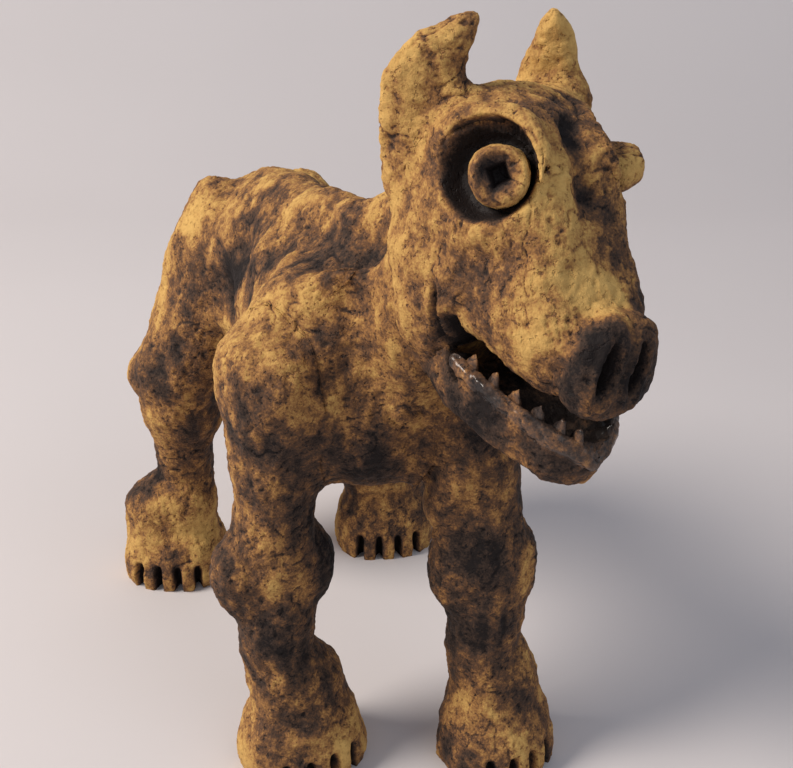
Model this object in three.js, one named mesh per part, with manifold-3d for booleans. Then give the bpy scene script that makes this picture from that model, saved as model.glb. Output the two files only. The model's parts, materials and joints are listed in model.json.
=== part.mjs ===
// Fired-clay four-legged beast, built up by hand from separate lumps, coils, slabs and pellets.
// Millimetres, +Z up. The beast faces -Y and its left side is +X. The origin lies on the ground, under the
// middle of the whole piece.
import * as THREE from "three";
import Module from "manifold-3d";

const wasm = await Module();
wasm.setup();

// Layer of slip between two pieces that are pressed together
const SLIP = 0.3;

// Trunk: it runs from the rump, at y = 0, forwards to the chest
const TRUNK_LENGTH = 111;
const TRUNK_HALF_WIDTH = 22;
const TRUNK_HALF_DEPTH = 25;
const TRUNK_AXIS_HEIGHT = 98;

// Coil along the back: the stretch of the trunk that it covers, and how deep it is sunk from rump to neck
const BACKBONE_RADIUS = 7;
const BACKBONE_SINKS = [3.5, 3.5, 3.5, 2.5, 0.8, -1.5, -3.5];
const BACKBONE_STRETCH = [0.12, 0.86];

// Hollows pressed into both flanks: share of the trunk's length, degrees above its side, radius of the round
// tool, and depth
const FLANK_HOLLOWS = [
  { share: 0.46, angle: 33, radius: 10.5, depth: 3.2 },
  { share: 0.37, angle: -4, radius: 10.5, depth: 3.2 },
];

// Tail coil
const TAIL_LENGTH = 34;
const TAIL_RADIUS = 4.2;

// Stance. For each leg: its side, the end of the trunk that it stands at, how far its top lies in from the
// trunk's side and from that end, the step out and back from there to the ankle, the step on to the middle of
// the foot, and how many degrees the toes turn to the right.
const STANCE = {
  front_right: { side: -1, end: "chest", inset: 0, along: 17, ankle: [2.5, 1], foot: [-4, -1], toes: -4 },
  front_left: { side: 1, end: "chest", inset: 4, along: 9, ankle: [1.6, -8.3], foot: [2.9, -1.2], toes: -4 },
  hind_right: { side: -1, end: "rump", inset: 10.4, along: 16, ankle: [11.4, 11], foot: [4, 0.5], toes: 28 },
  hind_left: { side: 1, end: "rump", inset: 10, along: 18, ankle: [19, 5], foot: [5, -1], toes: 16 },
};

// Front legs: how far they reach above the trunk's axis and into the feet
const FRONT_LEG_RISE = 12;
const FRONT_LEG_HALF_WIDTH = 11;
const FRONT_LEG_HALF_DEPTH = 12.5;
const FRONT_LEG_LAP = 15;

// Shoulder lump, over the top of a front leg
const SHOULDER_RISE = 3;
const SHOULDER_OUT = 1;
const SHOULDER_AHEAD = 1;
const SHOULDER_HALF_SIZES = [8.2, 11, 11.5];

// Shoulder blade: a coil up the side of the trunk to the neck. Its points lie in from the trunk's side,
// behind the chest's foremost point and above the trunk's axis.
const BLADE_RADIUS = 5.5;
const BLADE_POINTS = [[-1, 29, 2], [1.5, 26, 8], [5, 21.5, 14.5], [9, 14.5, 20.5], [13, 8, 27]];

// Pads pressed on both sides of each front knee
const KNEE_HEIGHT = 53;
const KNEE_PAD_SUNK = 2;
const KNEE_PAD_HALF_SIZES = [5.25, 7, 8.5];

// Hind legs: the haunch's reach above the trunk's axis, its lower end, and the laps at knee and ankle
const HAUNCH_RISE = 23;
const HAUNCH_FOOTING = 46;
const HAUNCH_HALF_WIDTH = 12.8;
const HAUNCH_HALF_DEPTH = 17;
const SHANK_KNEE_LAP = 16;
const SHANK_ANKLE_LAP = 17;
const SHANK_HALF_WIDTH = 9;
const SHANK_HALF_DEPTH = 10.5;
const HOCK_HEIGHT = 20;
const HOCK_BACK = 3;
const HOCK_HALF_SIZES = [8.5, 8.5, 9];
const HOCK_FULLNESS = 2.6;

// Feet and their pressed toe slits
const FRONT_FOOT_HALF_WIDTH = 14.8;
const HIND_FOOT_HALF_WIDTH = 15;
const FOOT_HALF_LENGTH = 13;
const FOOT_HEIGHT = 33;
const TOE_SLITS = 4;
const TOE_SLIT_WIDTH = 2;
const TOE_SLIT_DEPTH = 6;
const TOE_SLIT_HEIGHT = 8;
const TOE_SPREAD = 34;

// Head: the middle of its eye line, from the chest's foremost point, and the way that the head is held
const HEAD_FROM_CHEST = [17.2, -21, 48.5];
const HEAD_TURN = 6.5;
const HEAD_NOD = 24;
const HEAD_TILT = 5;
const HEAD_LENGTH = 58;
const HEAD_BEHIND_EYES = 28;
const HEAD_HALF_WIDTH = 19;
const HEAD_HALF_DEPTH = 27;

// Neck: its root, from the chest's foremost point, and the place in the head's frame that it reaches
const NECK_ROOT = [1, 21, 6];
const NECK_NAPE = [0, 12, -16];
const NECK_HALF_WIDTH = 20;
const NECK_HALF_DEPTH = 22;

// Hollow pressed into the right of the neck, behind the shoulder blade: middle of the round tool, from the
// neck's root, and its radius
const NECK_HOLLOW_FROM_ROOT = [-19, -1.5, 32];
const NECK_HOLLOW_RADIUS = 17;

// Nose pad, whose front leans back, and nostrils
const NOSE_HALF_WIDTH = 9.6;
const NOSE_HALF_HEIGHT = 9.4;
const NOSE_HALF_LENGTH = 5.8;
const NOSE_FULLNESS = 2.5;
const NOSE_SUNK = 0.5;
const NOSE_RISE = 2;
const NOSE_LEAN = 26;
const NOSTRIL_WIDTH = 2.8;
const NOSTRIL_HEIGHT = 9;
const NOSTRIL_DEPTH = 4.5;
const NOSTRIL_SPACING = 6.6;
const NOSTRIL_RISE = 0.8;

// Lower jaw: a trough with a lip rolled along its rim. It is tucked up under the cheeks, starts behind their
// lowest point and reaches past the tip of the muzzle.
const JAW_OVERSHOT = 8;
const JAW_BEHIND_CHEEK = 2;
const JAW_HALF_WIDTH = 15.4;
const JAW_HALF_DEPTH = 8.6;
const JAW_TUCK = 8.3;
const JAW_WALL = 3.6;
const JAW_FLOOR = 6.5;
const LIP_RADIUS = 1.7;
const LIP_INSET = 0.9;

// Teeth, along a stretch of each side of the jaw
const TEETH_A_SIDE = 6;
const TEETH_STRETCH = [0.36, 0.8];
const TOOTH_HEIGHT = 4.4;
const TOOTH_WIDTH = 4.4;
const TOOTH_THICKNESS = 2.6;

// Eyes: pressed sockets, pellets with poked pupils, and brow coils by angles round the socket
const EYE_INSET = 3.7;
const EYE_RISE = 1;
const EYE_AIM = [0.87, -0.2, 0.45];
const SOCKET_RADIUS = 9.3;
const SOCKET_DEPTH = 4.6;
const SOCKET_ROUND = 2;
const BROW_RADIUS = 2.4;
const BROW_SINKS = { right: 1.5, left: 3.4 };
const BROW_ANGLES = [35, 60, 85, 110, 135, 160, 185];

// Eyeballs: middles of their bases in from the side of the head, behind the eyes and above the eye line, the
// ways that they look, heights, and shares of the radius at three rises up them
const EYEBALL_RADIUS = 5.4;
const EYEBALLS = {
  right: { base: [8.8, 1, 0], aim: [0.62, -0.6, 0.5], height: 8.8, shares: [1, 0.98, 0.84] },
  left: { base: [7.5, 1, 0], aim: [0.95, -0.22, 0.2], height: 10, shares: [1, 0.8, 0.52] },
};
const EYEBALL_RISES = [0.4, 0.74, 0.94];
const PUPIL_WIDTH = 4.2;
const PUPIL_DEPTH = 3.4;

// Ears: roots in from the side of the head, ahead of its back and below the eye line, half widths, the way
// that each slab faces, and how far its tip leans back
const EAR_LENGTH = 34;
const EAR_HALF_THICKNESS = 2.8;
const EARS = {
  right: { root: [5, 9.5, 16], halfWidth: 7.6, facing: 36, lean: 3 },
  left: { root: [7.5, 11, 16], halfWidth: 5.8, facing: -46, lean: 8 },
};

// Clay body with its ochre and iron-oxide finishes
const OCHRE = { color: 0x9c7440, roughness: 0.8, metalness: 0 };
const STAINED = { color: 0x5c4128, roughness: 0.75, metalness: 0 };
const GLOSSY = { color: 0x8a6a45, roughness: 0.45, metalness: 0 };

const X = new THREE.Vector3(1, 0, 0);
const Y = new THREE.Vector3(0, 1, 0);
const Z = new THREE.Vector3(0, 0, 1);
const SIDES = { right: -1, left: 1 };

function radians(degrees) {
  return THREE.MathUtils.degToRad(degrees);
}

function vector(x, y, z) {
  return new THREE.Vector3(x, y, z);
}

function curve(points) {
  return new THREE.CatmullRomCurve3(points, false, "catmullrom");
}

// Closed skin through rings of points, with a pole in front of the first ring and behind the last.
function skin(rings, first, last) {
  const count = rings[0].length;
  const points = [first, ...rings.flat(), last];
  const index = [];
  for (let side = 0; side < count; side++) {
    const next = (side + 1) % count;
    index.push(0, 1 + next, 1 + side);
    for (let ring = 0; ring < rings.length - 1; ring++) {
      const here = 1 + ring * count;
      const ahead = here + count;
      index.push(here + side, here + next, ahead + next, here + side, ahead + next, ahead + side);
    }
    const end = 1 + (rings.length - 1) * count;
    index.push(end + side, end + next, points.length - 1);
  }
  const geometry = new THREE.BufferGeometry().setFromPoints(points);
  geometry.setIndex(index);
  return geometry;
}

// Closed solid of a geometry whose corners are shared. A skin that came inside out is turned round.
function solid(geometry) {
  const vertProperties = new Float32Array(geometry.attributes.position.array);
  const triVerts = new Uint32Array(geometry.index.array);
  const corner = (k) => new THREE.Vector3().fromArray(vertProperties, 3 * triVerts[k]);
  let volume = 0;
  for (let k = 0; k < triVerts.length; k += 3) {
    volume += corner(k).dot(corner(k + 1).cross(corner(k + 2)));
  }
  if (volume < 0) triVerts.reverse();
  return new wasm.Manifold(new wasm.Mesh({ numProp: 3, vertProperties, triVerts }));
}

// Ring of points round a centre. A squareness of 2 is an ellipse, and more squares its corners.
function ringOf(centre, across, up, half, sides, squareness = 2) {
  const power = 2 / squareness;
  const ring = [];
  for (let side = 0; side < sides; side++) {
    const angle = (2 * Math.PI * side) / sides;
    const [c, s] = [Math.cos(angle), Math.sin(angle)];
    const a = half[0] * Math.sign(c) * Math.abs(c) ** power;
    const b = half[1] * Math.sign(s) * Math.abs(s) ** power;
    ring.push(centre.clone().addScaledVector(across, a).addScaledVector(up, b));
  }
  return ring;
}

// Section of a form at a share of its rows. Half sizes are squared before they are smoothed, so that a form
// whose last row shrinks to nothing closes with a round end.
const LEAST_HALF_SIZE = 0.3;
function section(form, share) {
  const path = curve(form.centres);
  const square = curve(form.sizes.map(([a, b]) => vector(a * a, b * b, 0))).getPoint(share);
  const half = [square.x, square.y].map((value) => Math.sqrt(Math.max(value, LEAST_HALF_SIZE ** 2)));
  return { centre: path.getPoint(share), tangent: path.getTangent(share), half };
}

// Lump of clay lofted through a form's sections, which lie in the form's own axes or square to its path.
function loft(form, grow = 0) {
  const rings = [];
  for (let step = form.flat ? 0 : 1; step < form.rings; step++) {
    const { centre, tangent, half } = section(form, step / form.rings);
    const across = form.across.clone();
    if (!form.up) across.addScaledVector(tangent, -across.dot(tangent)).normalize();
    const up = form.up ?? tangent.clone().cross(across);
    const grown = half.map((size) => size + grow);
    rings.push(ringOf(centre, across, up, grown, form.sides, form.squareness));
  }
  const [start, end] = [section(form, 0), section(form, 1)];
  const first = start.centre.addScaledVector(start.tangent, form.flat ? 0 : -grow);
  const last = end.centre.addScaledVector(end.tangent, grow);
  return solid(skin(rings, first, last));
}

// Coil of even radius with round ends, along points.
function coil(centres, radius, across, rings, sides, grow) {
  const last = centres.length - 1;
  const sizes = centres.map((_, step) => (step === 0 || step === last ? [0, 0] : [radius, radius]));
  return loft({ centres, sizes, across, rings, sides }, grow);
}

// Shape turned round +Z from (radius, height) points, where the profile starts and ends on the axis.
function turned(profile, sides) {
  const rings = profile.slice(1, -1).map(([radius, height]) => (
    ringOf(vector(0, 0, height), X, Y, [radius, radius], sides)
  ));
  return solid(skin(rings, vector(0, 0, profile[0][1]), vector(0, 0, profile.at(-1)[1])));
}

// Rounded pellet of clay round a place: a ball stretched to three half sizes, squarer with more fullness.
function pellet([halfX, halfY, halfZ], place, grow = 0, rings = 6, sides = 10, fullness = 2) {
  const power = 2 / fullness;
  const layers = [];
  for (let step = 1; step < rings; step++) {
    const angle = (Math.PI * step) / rings;
    const rise = -Math.sign(Math.cos(angle)) * Math.abs(Math.cos(angle)) ** power;
    const centre = vector(place.x, place.y, place.z + rise * (halfZ + grow));
    const half = [halfX, halfY].map((size) => Math.sin(angle) ** power * (size + grow));
    layers.push(ringOf(centre, X, Y, half, sides, fullness));
  }
  const pole = vector(0, 0, halfZ + grow);
  return solid(skin(layers, place.clone().sub(pole), place.clone().add(pole)));
}

function moved(body, matrix) {
  return body.transform(matrix.elements);
}

// Places of a leg's top, ankle and foot on the ground plan.
function plan(leg) {
  const { side, end, inset, along, ankle, foot } = STANCE[leg];
  const y = end === "rump" ? -along : along - TRUNK_LENGTH;
  const top = vector(side * (TRUNK_HALF_WIDTH - inset), y, 0);
  const ankleAt = vector(side * ankle[0], ankle[1], 0).add(top);
  const footAt = vector(side * foot[0], foot[1], 0).add(ankleAt);
  return { top, ankle: ankleAt, foot: footAt };
}

// Point on a leg at a height, at shares of the way aside and back from its top to its ankle.
function legPoint(leg, height, aside, back) {
  const { top, ankle } = plan(leg);
  const step = ankle.sub(top);
  return vector(top.x + aside * step.x, top.y + back * step.y, height);
}

// Groups: the whole beast, its head and its four feet
const beast = new THREE.Group();
const chest = vector(0, -TRUNK_LENGTH, TRUNK_AXIS_HEIGHT);
const head = new THREE.Group();
head.position.copy(chest).add(vector(...HEAD_FROM_CHEST));
head.rotation.set(radians(HEAD_NOD), radians(HEAD_TILT), radians(HEAD_TURN), "ZXY");
beast.add(head);
const feet = {};
for (const [leg, { toes }] of Object.entries(STANCE)) {
  feet[leg] = new THREE.Group();
  feet[leg].position.copy(plan(leg).foot);
  feet[leg].rotation.z = -radians(toes);
  beast.add(feet[leg]);
}
beast.updateMatrixWorld(true);

// Seats a piece: every piece that is there already is taken out of it, with its layer of slip.
const seated = [];
function seat(name, shape, finish, group = beast) {
  let body = moved(shape(0), group.matrixWorld);
  for (const other of seated) body = body.subtract(other);
  const lumps = body.decompose().sort((a, b) => b.volume() - a.volume());
  const { vertProperties, triVerts } = lumps[0].getMesh();
  const geometry = new THREE.BufferGeometry();
  geometry.setAttribute("position", new THREE.BufferAttribute(vertProperties, 3));
  geometry.setIndex(new THREE.BufferAttribute(triVerts, 1));
  geometry.applyMatrix4(group.matrixWorld.clone().invert());
  geometry.computeVertexNormals();
  const mesh = new THREE.Mesh(geometry, new THREE.MeshStandardMaterial(finish));
  mesh.name = name;
  group.add(mesh);
  seated.push(moved(shape(SLIP), group.matrixWorld));
}

// Trunk. Rows: share of the length, then half width, half depth and lift as shares of the trunk's sizes.
const TRUNK_ROWS = [
  [0, 0, 0, -0.05],
  [0.05, 0.6, 0.62, 0.08],
  [0.16, 0.86, 0.9, 0],
  [0.36, 0.86, 0.92, 0.1],
  [0.58, 0.88, 0.94, 0.06],
  [0.78, 1, 1, 0],
  [0.93, 0.8, 0.86, -0.1],
  [1, 0, 0, -0.15],
];

function trunkPoint(share, lift) {
  return vector(0, -share * TRUNK_LENGTH, TRUNK_AXIS_HEIGHT + lift * TRUNK_HALF_DEPTH);
}

const trunk = {
  centres: TRUNK_ROWS.map(([share, , , lift]) => trunkPoint(share, lift)),
  sizes: TRUNK_ROWS.map(([, wide, deep]) => [wide * TRUNK_HALF_WIDTH, deep * TRUNK_HALF_DEPTH]),
  across: X,
  up: Z,
  squareness: 2.3,
  rings: 15,
  sides: 18,
};

// Place among the trunk's rows of a share of its length.
function rowShare(share) {
  const next = TRUNK_ROWS.findIndex(([at]) => at >= share);
  const [low, high] = [TRUNK_ROWS[next - 1][0], TRUNK_ROWS[next][0]];
  return (next - 1 + (share - low) / (high - low)) / (TRUNK_ROWS.length - 1);
}

// Point under the skin of the trunk, at an angle above its side.
function onTrunk(share, degrees, side, sunk) {
  const { centre, half } = section(trunk, rowShare(share));
  const wide = (half[0] - sunk) * Math.cos(radians(degrees));
  const high = (half[1] - sunk) * Math.sin(radians(degrees));
  return centre.add(vector(side * wide, 0, high));
}

function trunkShape(grow) {
  let body = loft(trunk, grow);
  for (const side of Object.values(SIDES)) {
    for (const { share, angle, radius, depth } of FLANK_HOLLOWS) {
      const place = onTrunk(share, angle, side, depth - radius);
      body = body.subtract(pellet([radius, radius, radius], place, -grow, 12, 18));
    }
  }
  return body;
}
seat("trunk", trunkShape, STAINED);

// Head, in its own frame: the eye line crosses the origin. Rows: share of the length from the back of the
// skull, then half width, half depth and drop below the eye line as shares of the head's sizes.
const HEAD_ROWS = [
  [0, 0, 0, 0.33],
  [0.053, 0.47, 0.33, 0.33],
  [0.155, 0.79, 0.54, 0.31],
  [0.31, 0.95, 0.86, 0.5],
  [0.449, 1, 1.02, 0.63],
  [0.55, 0.97, 0.96, 0.67],
  [0.6, 0.9, 0.77, 0.565],
  [0.641, 0.85, 0.62, 0.51],
  [0.759, 0.76, 0.485, 0.585],
  [0.877, 0.65, 0.37, 0.67],
  [0.97, 0.48, 0.24, 0.72],
  [1, 0, 0, 0.72],
];
const CHEEK_ROW = HEAD_ROWS[4];
const skull = {
  centres: HEAD_ROWS.map(([share, , , drop]) => (
    vector(0, HEAD_BEHIND_EYES - share * HEAD_LENGTH, -drop * HEAD_HALF_DEPTH)
  )),
  sizes: HEAD_ROWS.map(([, wide, deep]) => [wide * HEAD_HALF_WIDTH, deep * HEAD_HALF_DEPTH]),
  across: X,
  up: Z,
  squareness: 2.8,
  rings: 19,
  sides: 18,
};

// Frame at a place on one side of the head: +Z along an aim, and +Y up the brow.
function aimedFrame(side, [inset, behind, rise], [aside, back, upward]) {
  const aim = vector(side * aside, back, upward).normalize();
  const up = Z.clone().addScaledVector(aim, -Z.dot(aim)).normalize();
  const place = vector(side * (HEAD_HALF_WIDTH - inset), behind, rise);
  return new THREE.Matrix4().makeBasis(up.clone().cross(aim), up, aim).setPosition(place);
}

function eyeFrame(side) {
  return aimedFrame(side, [EYE_INSET, 0, EYE_RISE], EYE_AIM);
}

// Pressed eye socket: a round hole with a flat floor, open past the brow.
function socket(side, grow) {
  const radius = SOCKET_RADIUS - grow;
  const floor = -SOCKET_DEPTH + grow;
  const open = 2 * SOCKET_DEPTH + BROW_RADIUS;
  const profile = [
    [0, floor], [radius - SOCKET_ROUND, floor], [radius, floor + SOCKET_ROUND], [radius, open], [0, open],
  ];
  return moved(turned(profile, 16), eyeFrame(side));
}

function headShape(grow) {
  let body = loft(skull, grow);
  for (const side of Object.values(SIDES)) body = body.subtract(socket(side, grow));
  return body;
}
seat("head", headShape, OCHRE, head);

// Nose pad with two slit nostrils
function noseShape(grow) {
  const [, , , drop] = HEAD_ROWS.at(-1);
  const ahead = HEAD_LENGTH - HEAD_BEHIND_EYES - NOSE_SUNK;
  const frame = new THREE.Matrix4().makeRotationX(-radians(NOSE_LEAN));
  frame.setPosition(0, -ahead, NOSE_RISE - drop * HEAD_HALF_DEPTH);
  const sizes = [NOSE_HALF_WIDTH, NOSE_HALF_LENGTH, NOSE_HALF_HEIGHT];
  let body = pellet(sizes, vector(0, 0, 0), grow, 8, 16, NOSE_FULLNESS);
  for (const side of grow > 0 ? [] : Object.values(SIDES)) {
    const front = vector((side * NOSTRIL_SPACING) / 2, -NOSE_HALF_LENGTH, NOSTRIL_RISE);
    body = body.subtract(pellet([NOSTRIL_WIDTH / 2, NOSTRIL_DEPTH, NOSTRIL_HEIGHT / 2], front, 0, 5, 6));
  }
  return moved(body, frame);
}
seat("nose", noseShape, OCHRE, head);

// Lower jaw. Rows: share of the length, then half width, half depth and lift as shares of the jaw's sizes.
const JAW_ROWS = [
  [0, 0, 0, 0],
  [0.1, 0.88, 0.86, -0.05],
  [0.3, 1, 1, -0.06],
  [0.52, 0.93, 1.02, 0],
  [0.7, 0.76, 0.98, 0.06],
  [0.86, 0.52, 0.92, 0.06],
  [0.95, 0.3, 0.75, 0.1],
  [1, 0, 0, 0.15],
];

function jawForm(inset, raise) {
  const [cheek, , deep, drop] = CHEEK_ROW;
  const back = HEAD_BEHIND_EYES - cheek * HEAD_LENGTH + JAW_BEHIND_CHEEK;
  const length = back + HEAD_LENGTH - HEAD_BEHIND_EYES + JAW_OVERSHOT;
  const height = JAW_TUCK - (deep + drop) * HEAD_HALF_DEPTH + raise;
  return {
    centres: JAW_ROWS.map(([share, , , lift]) => (
      vector(0, back - share * length, height + lift * JAW_HALF_DEPTH)
    )),
    sizes: JAW_ROWS.map(([, wide, long]) => (
      [Math.max(wide * JAW_HALF_WIDTH - inset, 0), long * JAW_HALF_DEPTH]
    )),
    across: X,
    up: Z,
    squareness: 2.8,
    rings: 12,
    sides: 14,
  };
}

function jawShape(grow) {
  return loft(jawForm(0, 0), grow).subtract(loft(jawForm(JAW_WALL, JAW_FLOOR), -grow));
}
seat("lower_jaw", jawShape, OCHRE, head);

// Point on the rim of the jaw at a share of its rows: in from the side, at a share of the half depth.
function onRim(share, side, inset, rise) {
  const { centre, half } = section(jawForm(0, 0), share);
  return centre.add(vector(side * (half[0] - inset), 0, rise * half[1]));
}

// Lip rolled along the rim, from one corner of the mouth round the chin to the other
const LIP_SHARES = [0.28, 0.4, 0.55, 0.7, 0.83, 0.93];
const LIP_CHIN_SHARE = 0.985;
const LIP_RIM_RISE = 0.6;
const lipRight = LIP_SHARES.map((share) => onRim(share, SIDES.right, LIP_INSET, LIP_RIM_RISE));
const lipLeft = LIP_SHARES.map((share) => onRim(share, SIDES.left, LIP_INSET, LIP_RIM_RISE));
const lipChin = onRim(LIP_CHIN_SHARE, 0, 0, LIP_RIM_RISE);
const lipPath = [...lipRight, lipChin, ...lipLeft.reverse()];
seat("lower_lip", (grow) => coil(lipPath, LIP_RADIUS, Z, 22, 6, grow), GLOSSY, head);

// Triangular tooth, leaning out a little. Its base stands inside the rim.
const TOOTH_BELLY = [0.5, 0.6];
const TOOTH_LEAN = 0.15;
const TOOTH_RIM_RISE = 0.55;
function toothShape(place, side) {
  const axis = vector(side * TOOTH_LEAN, 0, 1).normalize();
  return (grow) => {
    const half = [TOOTH_THICKNESS / 2 + grow, TOOTH_WIDTH / 2 + grow];
    const belly = half.map((size) => size * TOOTH_BELLY[1]);
    const middle = place.clone().addScaledVector(axis, TOOTH_BELLY[0] * TOOTH_HEIGHT);
    const rings = [ringOf(place, X, Y, half, 6), ringOf(middle, X, Y, belly, 6)];
    return solid(skin(rings, place, place.clone().addScaledVector(axis, TOOTH_HEIGHT + grow)));
  };
}

for (const [name, side] of Object.entries(SIDES)) {
  for (let tooth = 1; tooth <= TEETH_A_SIDE; tooth++) {
    const [from, to] = TEETH_STRETCH;
    const share = from + ((to - from) * (tooth - 1)) / (TEETH_A_SIDE - 1);
    const place = onRim(share, side, LIP_INSET + LIP_RADIUS, TOOTH_RIM_RISE);
    seat(`tooth_${name}_${tooth}`, toothShape(place, side), GLOSSY, head);
  }
}

// Eyeball: a pellet with a poked, four-sided pupil
function eyeballShape(name, side) {
  const { base, aim, height, shares } = EYEBALLS[name];
  return (grow) => {
    const radius = EYEBALL_RADIUS + grow;
    const rows = EYEBALL_RISES.map((rise, row) => [shares[row] * radius, rise * height + grow]);
    let body = turned([[0, -grow], [radius * shares[0], -grow], ...rows, [0, height + grow]], 14);
    if (grow === 0) {
      const [tip, open] = [height - PUPIL_DEPTH, height + PUPIL_DEPTH];
      const [inner, outer] = [PUPIL_WIDTH / 2, PUPIL_WIDTH];
      body = body.subtract(turned([[0, tip], [inner, height - SLIP], [outer, open], [0, open]], 4));
    }
    return moved(body, aimedFrame(side, base, aim));
  };
}

// Brow: a coil bent over the socket
function browShape(name, side) {
  const frame = eyeFrame(side);
  const reach = SOCKET_RADIUS + BROW_RADIUS / 2;
  const centres = BROW_ANGLES.map((degrees) => {
    const angle = radians(degrees);
    const [across, up] = [-side * reach * Math.cos(angle), reach * Math.sin(angle)];
    return vector(across, up, -BROW_SINKS[name]).applyMatrix4(frame);
  });
  const aim = new THREE.Vector3().setFromMatrixColumn(frame, 2);
  return (grow) => coil(centres, BROW_RADIUS, aim, 11, 6, grow);
}

// Ear: a leaf-shaped slab. Rows: shares of its length up and out, of its lean, and of its half width.
const EAR_ROWS = [
  [0, 0, 0, 0],
  [0.1, 0.01, 0.1, 0.55],
  [0.32, 0.06, 0.3, 0.78],
  [0.6, 0.07, 0.6, 1],
  [0.8, 0.03, 0.8, 0.74],
  [0.94, -0.05, 0.94, 0.38],
  [1, -0.12, 1, 0],
];

function earShape(name, side) {
  const { root, halfWidth, facing, lean } = EARS[name];
  const place = vector(side * (HEAD_HALF_WIDTH - root[0]), HEAD_BEHIND_EYES - root[1], -root[2]);
  const form = {
    centres: EAR_ROWS.map(([up, out, back]) => (
      vector(side * out * EAR_LENGTH, back * lean, up * EAR_LENGTH).add(place)
    )),
    sizes: EAR_ROWS.map(([, , , wide]) => [wide * halfWidth, Math.sqrt(wide) * EAR_HALF_THICKNESS]),
    across: vector(side * Math.cos(radians(facing)), Math.sin(radians(facing)), 0),
    rings: 11,
    sides: 10,
  };
  return (grow) => loft(form, grow);
}

for (const [name, side] of Object.entries(SIDES)) {
  seat(`${name}_eyeball`, eyeballShape(name, side), OCHRE, head);
  seat(`${name}_brow`, browShape(name, side), OCHRE, head);
  seat(`${name}_ear`, earShape(name, side), STAINED, head);
}

// Backbone: a coil along the top of the trunk
function backboneShape(grow) {
  const [from, to] = BACKBONE_STRETCH;
  const steps = BACKBONE_SINKS.length - 1;
  const centres = BACKBONE_SINKS.map((sunk, step) => (
    onTrunk(from + ((to - from) * step) / steps, 90, 1, sunk)
  ));
  return coil(centres, BACKBONE_RADIUS, X, 14, 10, grow);
}
seat("backbone", backboneShape, OCHRE);

// Tail: a short coil that hangs from the rump. Rows: shares of its length back and up, and of its radius.
const TAIL_ROOT = [0.05, 0.35];
const TAIL_ROWS = [
  [0, 0, 0],
  [0.25, 0.02, 1.1],
  [0.4, -0.25, 1],
  [0.42, -0.6, 0.85],
  [0.36, -0.9, 0.7],
  [0.34, -1, 0],
];
const tail = {
  centres: TAIL_ROWS.map(([back, up]) => (
    vector(0, back * TAIL_LENGTH, up * TAIL_LENGTH).add(trunkPoint(...TAIL_ROOT))
  )),
  sizes: TAIL_ROWS.map(([, , thick]) => [thick * TAIL_RADIUS, thick * TAIL_RADIUS]),
  across: X,
  rings: 12,
  sides: 8,
};
seat("tail", (grow) => loft(tail, grow), STAINED);

// Front leg. Rows: share of the height, lean towards the ankle, then half width and half depth as shares.
const FRONT_LEG_ROWS = [
  [1, 0, 0, 0],
  [0.93, 0, 0.86, 0.9],
  [0.82, 0.05, 1, 1],
  [0.71, 0.3, 0.88, 0.9],
  [0.54, 0.75, 0.77, 0.76],
  [0.4, 0.9, 0.88, 0.85],
  [0.3, 1, 0.86, 0.82],
  [0.2, 1, 0.76, 0.74],
  [0.12, 1, 0.7, 0.66],
  [0, 1, 0, 0],
];

function frontLegShape(leg) {
  const footing = FOOT_HEIGHT - FRONT_LEG_LAP;
  const height = TRUNK_AXIS_HEIGHT + FRONT_LEG_RISE - footing;
  const form = {
    centres: FRONT_LEG_ROWS.map(([share, lean]) => legPoint(leg, footing + share * height, lean, lean)),
    sizes: FRONT_LEG_ROWS.map(([, , wide, deep]) => (
      [wide * FRONT_LEG_HALF_WIDTH, deep * FRONT_LEG_HALF_DEPTH]
    )),
    across: X,
    up: Y,
    rings: 14,
    sides: 11,
  };
  return (grow) => loft(form, grow);
}

// Haunch and shank. Rows: share of the height, lean aside, lean back, half width and half depth.
const HAUNCH_ROWS = [
  [1, 0, 0, 0, 0],
  [0.92, 0, 0, 0.5, 0.55],
  [0.7, 0.2, 0.15, 0.88, 0.9],
  [0.44, 0.6, 0.35, 0.96, 1],
  [0.26, 1, 0.5, 1, 0.92],
  [0.08, 1, 0.7, 0.7, 0.66],
  [0, 1, 0.75, 0, 0],
];
const SHANK_ROWS = [
  [1, 1, 0.65, 0, 0],
  [0.86, 1, 0.7, 1.05, 1],
  [0.55, 1, 0.9, 0.92, 0.9],
  [0.35, 1, 1, 0.85, 0.85],
  [0.15, 1.1, 1, 0.9, 0.9],
  [0, 1.1, 1, 0, 0],
];

function hindLegShape(leg, rows, footing, top, halfWidth, halfDepth) {
  const form = {
    centres: rows.map(([share, aside, back]) => (
      legPoint(leg, footing + share * (top - footing), aside, back)
    )),
    sizes: rows.map(([, , , wide, deep]) => [wide * halfWidth, deep * halfDepth]),
    across: X,
    up: Y,
    rings: 11,
    sides: 11,
  };
  return (grow) => loft(form, grow);
}

// Foot with a flat sole and pressed toe slits. Rows: share of the height, then half width, half length and
// reach ahead as shares of the foot's sizes.
const FOOT_ROWS = [
  [0, 0.96, 0.96, 0.14],
  [0.12, 1, 1, 0.14],
  [0.3, 0.96, 0.92, 0.1],
  [0.52, 0.8, 0.76, 0.02],
  [0.75, 0.68, 0.66, 0],
  [1, 0, 0, 0],
];
const TOE_REACH = 1.1;

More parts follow.
